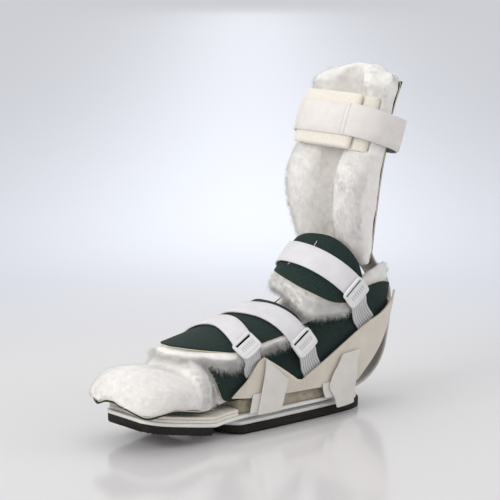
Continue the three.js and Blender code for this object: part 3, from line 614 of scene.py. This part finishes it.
def add_elastic(name, place, run):
    """Ribbed elastic from under its buckle down to the boot wall and on under the panel's edge."""
    centre, normal, along, wide = place
    thick, gap, lead, below = 1.5 * MM, 0.3 * MM, 2 * MM, 2 * MM
    wall = node_tree("boot_cover")
    rows = []
    for share in np.linspace(0, 1, 9):
        edges = []
        for side in (-0.5, 0.5):
            free = centre - normal * below + along * (lead + share * run) + wide * side * FOOT_STRAP
            hit, out, _, _ = wall.find_nearest(Vector(free))
            drop = np.array(hit + out * (thick + gap)) - free
            drop -= wide * (drop @ wide)
            edges.append(free + drop * eased_step(share, 0, 0.75))
        rows.append(np.concatenate([*edges, normal * thick]))
    profile = ribbed_profile(8, 0.8)
    mesh, length = ribbon_mesh("elastic_" + name + "_cloth", np.array(rows), profile)
    # the groove faces take the darker grey of painted shade
    paint_groove_shade(mesh, profile)
    piece = add_piece("elastic_" + name + "_cloth", mesh, [ELASTIC, GROOVE_SHADE], ["elastic_" + name])


def rounded_grid(half_w, half_l, corner):
    """Grid over a plate with rounded corners: shares of its half sides from -1 to 1, and places."""
    u, v = np.meshgrid(np.linspace(-1, 1, 61), np.linspace(-1, 1, 57), indexing="ij")
    du, dv = np.maximum(np.abs(u) - 1 + corner, 0), np.maximum(np.abs(v) - 1 + corner, 0)
    squeeze = 1 / np.maximum(np.hypot(du, dv) / corner, 1)
    x = np.sign(u) * np.where(du > 0, 1 - corner + du * squeeze, np.abs(u)) * half_w
    y = np.sign(v) * np.where(dv > 0, 1 - corner + dv * squeeze, np.abs(v)) * half_l
    return u, v, x, y


def add_buckle(name, place):
    """Ladder buckle: rounded plate with a slot, a grip of short grooves and a lip over the elastic."""
    centre, normal, along, wide = place
    thick, bevel = 3.4 * MM, 0.12
    strap_step, groove, lip_step, lip_bow = 0.9 * MM, 0.5 * MM, 0.9 * MM, 1.6 * MM
    u, v, x, y = rounded_grid(14.5 * MM, 10 * MM, 0.34)
    slot = (np.abs(v + 0.57) < 0.14) & (np.abs(u) < 0.86)
    grip = (np.abs(v - 0.12) < 0.27) & (np.abs(u) < 0.72) & (np.cos(u * math.pi * 10) > 0.1)
    edge = np.clip(1 - np.maximum(np.abs(u), np.abs(v)), 0, bevel) / bevel
    z = thick * (0.62 + 0.38 * np.sqrt(1 - (1 - edge) ** 2))
    z = np.where(slot, 0.15 * thick, z)
    z -= np.where(v < -0.66, strap_step, 0)
    z -= np.where(grip, groove, 0)
    z -= lip_step * np.clip((v - 0.62) / 0.1, 0, 1) * (1 - 0.35 * u**2)
    y += np.where(v > 0.3, (1 - u**2) * (v - 0.3) * lip_bow, 0)
    under = centre - normal * thick / 2 + x[..., None] * wide + y[..., None] * along
    top = under + z[..., None] * normal
    # the slot is painted near black and the grip's grooves grey, both as shade
    mesh = plate_mesh("buckle_" + name + "_moulded", top, under, slot + 2 * grip)
    add_piece("buckle_" + name + "_moulded", mesh, [BUCKLE, SHADE, GRIP_SHADE], ["buckle_" + name])


def add_fastenings():
    """Buckle and elastic of each foot strap, with the elastic's run."""
    for name, inside, run in (("forefoot", inside_foot, 35 * MM), ("instep", inside_foot, 38 * MM),
                              ("ankle", inside_ankle, 50 * MM)):
        place = buckle_place(name, inside)
        add_elastic(name, place, run)
        add_buckle(name, place)


def plate_mesh(name, top, under, paint):
    """Closed mesh between two matching grids of points, with the material numbers of its upper side."""
    rows, cols = top.shape[:2]
    count = rows * cols
    at = np.arange(count).reshape(rows, cols)
    upper = np.stack([at[:-1, :-1], at[1:, :-1], at[1:, 1:], at[:-1, 1:]], -1).reshape(-1, 4)
    lower = upper[:, ::-1] + count
    rim = np.concatenate([at[:-1, 0], at[-1, :-1], at[:0:-1, -1], at[0, :0:-1]])
    side = np.stack([rim, np.roll(rim, -1), np.roll(rim, -1) + count, rim + count], -1)
    points = np.concatenate([top.reshape(-1, 3), under.reshape(-1, 3)])
    mesh = closed_mesh(name, points, np.concatenate([upper, lower, side]).tolist())
    upper_paint = np.minimum(paint[:-1, :-1], paint[1:, 1:]).ravel()
    index = np.zeros(len(mesh.polygons), dtype=np.int32)
    index[:len(upper_paint)] = upper_paint
    mesh.polygons.foreach_set("material_index", index)
    return mesh


# Sole

def plank_rows(node):
    """Half width, underside and top of a flat layer at each place along the foot."""
    points = read_points(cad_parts[node].data)
    places = np.unique(points[:, 1].round(5))
    rows = []
    for y in places:
        here = points[np.abs(points[:, 1] - y) < 2e-5]
        rows.append((y, np.abs(here[:, 0]).max(), here[:, 2].min(), here[:, 2].max()))
    return np.array(rows)


def smooth_table(x, xs, ys):
    """Reading of a table that bends smoothly and never overshoots."""
    slope = np.diff(ys) / np.diff(xs)
    before, after = slope[:-1], slope[1:]
    inner = np.where(before * after > 0, 2 * before * after / (before + after + 1e-12), 0)
    m = np.concatenate([slope[:1], inner, slope[-1:]])
    k = np.clip(np.searchsorted(xs, x) - 1, 0, len(xs) - 2)
    h = xs[k + 1] - xs[k]
    t = (x - xs[k]) / h
    return ((2 * t**3 - 3 * t**2 + 1) * ys[k] + (t**3 - 2 * t**2 + t) * h * m[k]
            + (3 * t**2 - 2 * t**3) * ys[k + 1] + (t**3 - t**2) * h * m[k + 1])


def add_plank(node, material, edge, pitch=3 * MM, ribs=0.0):
    """Flat layer with rounded edges, and ribs across its underside where asked."""
    rows = plank_rows(node)
    count = int((rows[-1, 0] - rows[0, 0]) / pitch) | 1
    y = np.linspace(rows[0, 0], rows[-1, 0], count + 1)
    half, low, top = (smooth_table(y, rows[:, 0], rows[:, k]) for k in (1, 2, 3))
    notch = ribs * (np.arange(len(y)) % 2)
    bow = edge * 0.3
    # side of the foot, shift across, rise, and 1 for the upper face
    section = [(-1, 0, -edge, 1), (-1, bow, -bow, 1), (-1, edge, 0, 1), (0, 0, 0, 1), (1, -edge, 0, 1),
               (1, -bow, -bow, 1), (1, 0, -edge, 1), (1, 0, edge + ribs, 0), (1, -bow, bow, 0),
               (1, -edge, 0, 0), (0, 0, 0, 0), (-1, edge, 0, 0), (-1, bow, bow, 0), (-1, 0, edge + ribs, 0)]
    loops = []
    for side, shift, rise, upper in section:
        level = top if upper else low + (notch if rise < edge + ribs else 0)
        loops.append(np.stack([side * half + shift, y, level + rise], -1))
    mesh = loft_mesh(node + "_form", np.stack(loops, 1))
    add_piece(node + "_form", mesh, [material], [node])


def add_sole():
    """Treads, plates, cream strips and foam from the floor up, with how far each edge is rounded."""
    for tread in ("rear_tread", "front_tread"):
        add_plank(tread, RUBBER, 0.8 * MM, pitch=1.7 * MM, ribs=1.8 * MM)
    add_plank("base_plate", PLATE, 0.7 * MM)
    add_plank("foot_plate", PLATE, 0.7 * MM)
    add_plank("toe_strip_lower", FELT, 0.6 * MM)
    add_plank("toe_strip_upper", FELT, 0.9 * MM)
    # footbed and sole pad take the olive tone, partly painted shade
    add_plank("footbed", FOAM_AND_SHADE, 1.5 * MM)
    add_plank("sole_pad", FOAM_AND_SHADE, 0.8 * MM)


# Cloth covers, panels and tabs

def add_cover(node, inside):
    """Knit sheet with a cream bead along its cut edge, kept within its solid."""
    thick = 2.3 * MM
    form = cad_form(node)
    lines = joined_lines(rim_edges(form, thick, inside))
    mesh = subdivided(form, node + "_knit", 3, 0.85, 75)
    swell(mesh, [(26 * MM, 0.3 * MM)])
    hold_in(mesh, node_tree(node))
    piece = add_piece(node + "_knit", mesh, [KNIT], [node])
    add_piping(node, lines, 0.5 * MM)


def add_covers():
    """The five knit covers: node, point on the fleece side, flat size, area and what is under it."""
    for node, inside, flat, area, below in (
            ("boot_cover", lambda p: Vector((0, 0.4 * p.y, p.z)), (0.105, 0.53), 0.038, "boot_fleece"),
            ("dorsal_cover", lambda p: Vector((0, p.y, 0.058)), (0.125, 0.14), 0.012, "dorsal_fleece"),
            ("sole_cover", lambda p: p + Vector((0, 0, 0.05)), (0.104, 0.275), 0.019, "footbed"),
            ("ankle_cover", lambda p: Vector((0, 0.105, 0.12)), (0.065, 0.145), 0.0066, "ankle_fleece"),
            ("calf_cover", lambda p: p - Vector((0, 0.05, 0)), (0.106, 0.19), 0.0178, "calf_fleece")):
        add_cover(node, inside)


def add_sheet_form(node, material, crease):
    """Sheet with rounded edges, kept within its solid."""
    mesh = subdivided(cad_form(node), node + "_cloth", 3, crease)
    hold_in(mesh, node_tree(node))
    piece = add_piece(node + "_cloth", mesh, [material], [node])
    return piece


def add_holding():
    """Cream side panels with their stitching, the heel band and the white tabs."""
    for side in ("near", "far"):
        panel = add_sheet_form("panel_" + side, VINYL, 0.85)
        add_stitches(panel, 1 if side == "near" else -1)
        for tab, flat, area, inner in (("tab_front_", (0.04, 0.065), 0.00145, (0.03, 0.024)),
                                       ("tab_rear_", (0.032, 0.06), 0.0017, (0.024, 0.022))):
            add_sheet_form(tab + side, TAB, 0.9)
            add_sheet_form(tab + side + "_inner", TAB, 0.9)
    add_pad_threads()
    add_sheet_form("heel_band", STRAP, 0.85)


def upper_edge(panel, cast):
    """Places along and up of the upper edge of a panel, from the toe end to the heel end."""
    box = [panel.matrix_world @ Vector(c) for c in panel.bound_box]
    low_y, high_y = min(c.y for c in box), max(c.y for c in box)
    low_z, high_z = min(c.z for c in box), max(c.z for c in box)
    edge = []
    for y in np.arange(low_y + 4 * MM, high_y - 12 * MM, 1 * MM):
        for z in np.arange(high_z, low_z, -0.5 * MM):
            hit = cast(y, z)[0]
            if hit and abs(hit.x) > 0.02:
                edge.append((y, z))
                break
    return np.array(edge)


def add_stitches(panel, side):
    """Thread stitches just under the upper edge of a panel."""
    pitch, inset, length, radius = 3.4 * MM, 3.2 * MM, 2.0 * MM, 0.4 * MM
    tree = BVHTree.FromObject(panel, bpy.context.evaluated_depsgraph_get())

    def cast(y, z):
        return tree.ray_cast(Vector((side * 0.1, y, z)), Vector((-side, 0, 0)))
    edge = upper_edge(panel, cast)
    step = np.concatenate([[0], np.cumsum(np.linalg.norm(np.diff(edge, axis=0), axis=1))])
    points, outs, runs = [], [], []
    for s in np.arange(3 * MM, step[-1] - 3 * MM, pitch):
        here = np.array([np.interp(s, step, edge[:, k]) for k in (0, 1)])
        ahead = np.array([np.interp(s + 1.5 * MM, step, edge[:, k]) for k in (0, 1)])
        run = (ahead - here) / (np.linalg.norm(ahead - here) + 1e-9)
        hit, normal, _, _ = cast(*(here + np.array([run[1], -run[0]]) * inset))
        if hit:
            points.append(hit)
            outs.append(normal)
            runs.append(Vector((0, *run)))
    name = panel.name + "_stitches"
    add_piece(name, grain_mesh(name, points, outs, runs, length, radius), [TRIM])


# Ends in mm of the two threads sewn across the edge of the ankle pad
PAD_THREADS = (((-1.4, 50.3, 153.1), (2.7, 56.2, 159.1)), ((16.3, 71.2, 172.7), (15.9, 75.6, 177.3)))


def add_pad_threads():
    """Two short threads on the ankle pad."""
    tree = node_tree("ankle_cover")
    points, outs, runs = [], [], []
    for start, stop in PAD_THREADS:
        start, stop = Vector(start) * MM, Vector(stop) * MM
        hit, out, _, _ = tree.find_nearest((start + stop) / 2)
        points.append(hit)
        outs.append(out)
        runs.append((stop - start).normalized())
    mesh = grain_mesh("ankle_cover_threads", points, outs, runs, 7.5 * MM, 0.45 * MM)
    add_piece("ankle_cover_threads", mesh, [ELASTIC])


def grain_mesh(name, points, outs, runs, length, radius):
    """Short thread grains lying on a surface: six-sided spindles."""
    verts, faces = [], []
    for point, out, run in zip(points, outs, runs):
        along = (run - out * run.dot(out)).normalized()
        wide = out.cross(along)
        first = len(verts)
        for place, size in ((-0.5, 0.35), (-0.3, 1), (0.3, 1), (0.5, 0.35)):
            for k in range(6):
                a = k * math.pi / 3
                outward = (wide * math.cos(a) + out * math.sin(a)) * radius * size
                verts.append(point + along * place * length + outward)
        for ring in range(3):
            for k in range(6):
                a, b = first + ring * 6 + k, first + ring * 6 + (k + 1) % 6
                faces.append((a, b, b + 6, a + 6))
        faces.append(tuple(first + k for k in range(5, -1, -1)))
        faces.append(tuple(first + 18 + k for k in range(6)))
    mesh = bpy.data.meshes.new(name)
    mesh.from_pydata([tuple(v) for v in verts], [], faces)
    return mesh


# Fleece

def solids_tree(skip):
    """Search tree of all the solids but the named ones."""
    verts, faces, start = [], [], 0
    for name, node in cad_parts.items():
        if name not in skip:
            node.data.calc_loop_triangles()
            verts += [v.co.copy() for v in node.data.vertices]
            faces += [tuple(start + k for k in t.vertices) for t in node.data.loop_triangles]
            start = len(verts)
    return BVHTree.FromPolygons(verts, faces)


def surface_samples(mesh, count, rng):
    """Points spread evenly over a mesh, with their normals."""
    mesh.calc_loop_triangles()
    corner = np.empty(len(mesh.loop_triangles) * 3, dtype=np.int32)
    mesh.loop_triangles.foreach_get("vertices", corner)
    corner = corner.reshape(-1, 3)
    points, normals = read_points(mesh), read_points(mesh, "normal")
    a, b, c = (points[corner[:, k]] for k in range(3))
    area = np.linalg.norm(np.cross(b - a, c - a), axis=1)
    pick = rng.choice(len(corner), size=count, p=area / area.sum())
    r1, r2 = np.sqrt(rng.random((count, 1))), rng.random((count, 1))
    share = np.concatenate([1 - r1, r1 * (1 - r2), r1 * r2], 1)
    where = (points[corner[pick]] * share[..., None]).sum(1)
    out = (normals[corner[pick]] * share[..., None]).sum(1)
    return where, out / np.linalg.norm(out, axis=1, keepdims=True)


# One sort of fibre: how many at most, length and width in mm, how far tips gather into tufts, how far the
# fibres lie down, which way they are combed (x is away from the middle) and where they grow by place in mm
# and normal
Fibres = namedtuple("Fibres", "count length width gather lie comb region")


def clear_run(where, out, tip, tree):
    """Which fibres run from root to tip without meeting a neighbour."""
    keep = []
    for k in range(len(where)):
        run = Vector(tip[k] - where[k])
        start = Vector(where[k]) + Vector(out[k]) * 0.2 * MM
        keep.append(tree.ray_cast(start, run.normalized(), run.length + 0.6 * MM)[0] is None)
    return keep


def fibre_spikes(mesh, sort, tree, rng):
    """Points of fine closed spikes over a fleece form, four to a spike, and the form's normals under them."""
    length, tuft_size, sunk = sort.length * MM, 45, 0.6 * MM
    where, out = surface_samples(mesh, 60000, rng)
    chosen = np.nonzero(sort.region(where * 1000, out))[0][:sort.count]
    where, out, count = where[chosen], out[chosen], len(chosen)
    starts = rng.choice(count, max(count // tuft_size, 1), replace=False)
    tuft, tuft_out = where[starts], out[starts]
    nearest = nearest_rows(where, tuft)
    outward = np.where(where[:, :1] < 0, -1, 1) * (1, 0, 0) + (0, 1, 1)
    lean = rng.normal(0, 0.4, where.shape) + np.array(sort.comb) * outward
    tall = length * rng.uniform(0.55, 1.15, (count, 1))
    swirl = np.cross(out, rng.normal(0, 1, tuft.shape)[nearest])
    tip = where + (out * (1 - sort.lie) + 0.7 * lean + sort.gather * swirl) * tall * 0.8
    heart = tuft[nearest] + tuft_out[nearest] * length * 0.8
    far = np.linalg.norm(heart - tip, axis=1, keepdims=True)
    tip += (heart - tip) * np.clip(sort.gather - 0.02 * far / MM, 0, sort.gather)
    keep = clear_run(where, out, tip, tree)
    where, out, tip = where[keep], out[keep], tip[keep]
    run = unit(tip - where)
    side = unit(np.cross(run, rng.normal(0, 1, run.shape)))
    other = np.cross(run, side)
    root = where - out * sunk
    thick = sort.width * MM * rng.uniform(0.7, 1.3, (len(root), 1)) / 2
    base = [root + (side * math.cos(a) + other * math.sin(a)) * thick for a in (0, 2.0944, 4.1888)]
    return np.stack([*base, tip], 1).reshape(-1, 3), np.repeat(out, 4, 0)


def fibre_mesh(name, spikes):
    """Mesh of spikes that shade as the pile under them does."""
    verts, normals = (np.concatenate([spike[k] for spike in spikes]) for k in (0, 1))
    first = np.arange(len(verts) // 4)[:, None] * 4
    faces = np.concatenate([first + np.array(t) for t in ((0, 2, 1), (0, 1, 3), (1, 2, 3), (2, 0, 3))])
    made = bpy.data.meshes.new(name)
    made.from_pydata(verts.tolist(), [], faces.tolist())
    made.shade_smooth()
    made.normals_split_custom_set_from_vertices(normals.tolist())
    return made


def nearest_rows(points, centres):
    """Index of the nearest centre to each point."""
    best = np.empty(len(points), dtype=int)
    for start in range(0, len(points), 2000):
        part = points[start:start + 2000]
        best[start:start + 2000] = ((part[:, None] - centres[None]) ** 2).sum(-1).argmin(1)
    return best


# How far the pile stands out of its solid, in mm, by place in mm and normal

def calf_puff(p, n):
    """Full on the front and the top, drawn in at the top corners."""
    corner = eased_step(p[:, 2], 318, 30) * (2 + 5 * eased_step(np.abs(p[:, 0]), 12, 26))
    return 2.5 * np.clip(0.2 - n[:, 1] + n[:, 2], 0, 1) - corner * np.clip(n[:, 2] + np.abs(n[:, 0]), 0, 1)


def sole_puff(p, n):
    """Full round the toe, most of all where the toe flap leaves the boot."""
    toe = eased_step(-p[:, 1], 55, 12)
    root = np.clip(1 - np.abs(p[:, 1] + 92) / 14, 0, 1)
    face = 1.2 * np.clip(n[:, 2], 0, 1) + 2.6 * np.clip(1 - 1.2 * np.abs(n[:, 2]), 0, 1)
    return toe * face + 5 * root * np.clip(0.9 + n[:, 2], 0, 1)


def boot_puff(p, n):
    """Full along the top of the wall and at its front end."""
    front = eased_step(-p[:, 1], 52, 14)
    forward = np.clip(0.3 - n[:, 1] - 0.8 * np.abs(n[:, 0]), 0, 1)
    return 7 * front * forward + (2.5 + 3 * front) * np.clip(n[:, 2], 0, 1)


def dorsal_puff(p, n):
    """Full under the front end and the sides of the flap."""
    front = eased_step(-p[:, 1], 42, 22)
    side = eased_step(np.abs(p[:, 0]), 27, 7)
    return (10 * front + 6 * side) * np.clip(0.45 - n[:, 2], 0, 1) * (1 - 0.3 * np.clip(-n[:, 1], 0, 1))


def ankle_puff(p, n):
    """Full underneath."""
    return 4 * np.clip(0.1 - n[:, 2], 0, 1)


FLEECE = [
    # node, fill, puff
    ("calf_fleece", 0.8, calf_puff),
    ("sole_fleece", 0.7, sole_puff),
    ("boot_fleece", 0.5, boot_puff),
    ("dorsal_fleece", 0.5, dorsal_puff),
    ("ankle_fleece", 0.6, ankle_puff),
]
FIBRES = {
    "calf_fleece": [
        Fibres(30000, 5, 0.22, 0.25, 0.55, (0.7, -0.4, -0.9),
               lambda p, n: (n[:, 1] < -0.25) | (n[:, 2] > 0.35))],
    "sole_fleece": [
        Fibres(18000, 3.2, 0.2, 0.15, 0.55, (0.5, -0.6, -0.3),
               lambda p, n: (p[:, 1] < -62) & (n[:, 2] > -0.5)),
        Fibres(6000, 6, 0.22, 0.3, 0.2, (0.6, 0.2, 0.3),
               lambda p, n: (np.abs(p[:, 1] + 88) < 14) & (n[:, 2] > -0.5))],
    "boot_fleece": [
        Fibres(10000, 8, 0.24, 0.2, 0.3, (0.3, -0.7, 0.1),
               lambda p, n: p[:, 1] < -62),
        Fibres(8000, 5, 0.25, 0.3, 0, (0.9, -0.2, -0.1),
               lambda p, n: (p[:, 1] < 45) & (n[:, 2] > 0.1)),
        Fibres(9000, 4, 0.25, 0.3, 0.2, (0.2, 0.2, 0.6),
               lambda p, n: (p[:, 1] > 80) & (n[:, 2] > -0.2))],
    "dorsal_fleece": [
        Fibres(14000, 9, 0.24, 0.2, 0.3, (0.2, -0.6, -0.7),
               lambda p, n: (p[:, 1] < -55) & (np.abs(n[:, 2]) < 0.5)),
        Fibres(14000, 7.5, 0.28, 0.35, 0, (0.7, 0, -0.8),
               lambda p, n: (np.abs(p[:, 0]) > 29) & (n[:, 2] < 0.5)),
        Fibres(4000, 5, 0.25, 0.3, 0, (0, 0.6, -0.4),
               lambda p, n: (p[:, 1] > 20) & (n[:, 1] > 0))],
    "ankle_fleece": [
        Fibres(32000, 7, 0.22, 0.25, 0.45, (0.3, -0.3, -0.8),
               lambda p, n: n[:, 1] < 0.6)],
}
PILE_WAVES = [(26 * MM, 1.5 * MM), (9 * MM, 0.6 * MM), (4 * MM, 0.25 * MM)]


def add_fleece():
    """Swelled pile of each fleece solid and the fibres on it."""
    tree = solids_tree([node for node, _, _ in FLEECE])
    rng = np.random.default_rng(7)
    for node, fill, puff in FLEECE:
        mesh = subdivided(cad_form(node), node + "_pile", 3, 0.1)
        swell(mesh, PILE_WAVES, puff, tree)
        piece = add_piece(node + "_pile", mesh, [PILE], [node])
        spikes = [fibre_spikes(mesh, sort, tree, rng) for sort in FIBRES[node]]
        add_piece(node + "_fibres", fibre_mesh(node + "_fibres", spikes), [FIBRE])


# Stage

def add_floor():
    """Wide pale floor, painted lighter round the part as a pool of light and darker and bluer further out."""
    m = Material("pale_floor", 0.14, 0.5)
    far = m.nodes.new("ShaderNodeVectorMath")
    far.operation = "LENGTH"
    m.links.new(m.place, far.inputs[0])
    # painted pool of light: lighter near the part, darker and bluer away from it
    m.colour(far.outputs["Value"], [(0.3, linear(224, 222, 222)), (0.8, linear(205, 208, 217))])
    m.shader.inputs["Specular Tint"].default_value = (0.93, 0.955, 1.0, 1)
    mesh = bpy.data.meshes.new("floor")
    half = 14
    corners = [(-half, -half, 0), (half, -half, 0), (half, half, 0), (-half, half, 0)]
    mesh.from_pydata(corners, [], [(0, 1, 2, 3)])
    mesh.materials.append(m.material)
    floor = bpy.data.objects.new("floor", mesh)
    bpy.context.scene.collection.objects.link(floor)


def add_light(name, place, aim, size, power, colour):
    """Square area light that points at a place."""
    data = bpy.data.lights.new(name, "AREA")
    data.energy, data.size, data.color = power, size, colour
    lamp = bpy.data.objects.new(name, data)
    lamp.location = place
    lamp.rotation_mode = "QUATERNION"
    lamp.rotation_quaternion = (Vector(aim) - Vector(place)).to_track_quat("-Z", "Y")
    bpy.context.scene.collection.objects.link(lamp)
    return lamp


def add_strip_light():
    """Long soft light low over the floor behind the part, in line with the camera."""
    lamp = add_light("strip", (-2.87, 2.41, 0.4), (-2.87, 2.41, 0), 0.25, 16, (0.97, 0.98, 1.0))
    lamp.data.shape = "RECTANGLE"
    lamp.data.size_y = 5.9
    lamp.rotation_quaternion = Euler((0, 0, math.radians(50))).to_quaternion()
    lamp.visible_glossy = False


def add_stage():
    """Floor, pale surroundings and four soft lights."""
    add_floor()
    world = bpy.data.worlds.new("studio")
    world.use_nodes = True
    background = world.node_tree.nodes["Background"]
    background.inputs["Color"].default_value = (0.965, 0.975, 1.0, 1)
    background.inputs["Strength"].default_value = 0.72
    bpy.context.scene.world = world
    add_light("key", (0.05, -3.15, 1.65), (0, 0.05, 0.2), 2.1, 58, (1.0, 0.975, 0.94))
    add_light("top", (-0.5, 0.1, 1.9), (0, 0, 0.1), 1.6, 5, (1.0, 0.985, 0.965))
    add_light("fill", (1.3, 1.8, 0.9), (0, 0.1, 0.15), 1.2, 8, (1.0, 0.97, 0.93))
    add_strip_light()
    bpy.context.scene.view_settings.view_transform = "Standard"


def add_camera():
    """Camera fitted to the photograph."""
    data = bpy.data.cameras.new("camera")
    data.sensor_width, data.lens = 36, 151.2
    camera = bpy.data.objects.new("camera", data)
    azimuth, elevation, distance = math.radians(50), math.radians(10), 2.1
    target = Vector((0, 0, 0.17445))
    level = math.cos(elevation)
    back = Vector((math.sin(azimuth) * level, -math.cos(azimuth) * level, math.sin(elevation)))
    camera.location = target + back * distance
    camera.rotation_mode = "QUATERNION"
    camera.rotation_quaternion = (-back).to_track_quat("-Z", "Y")
    bpy.context.scene.collection.objects.link(camera)
    bpy.context.scene.camera = camera


def build():
    add_camera()
    add_stage()
    add_sole()
    add_heel_bar()
    add_covers()
    add_holding()
    add_straps()
    add_fastenings()
    add_calf_strap()
    add_fleece()


build()
bpy.context.view_layer.update()
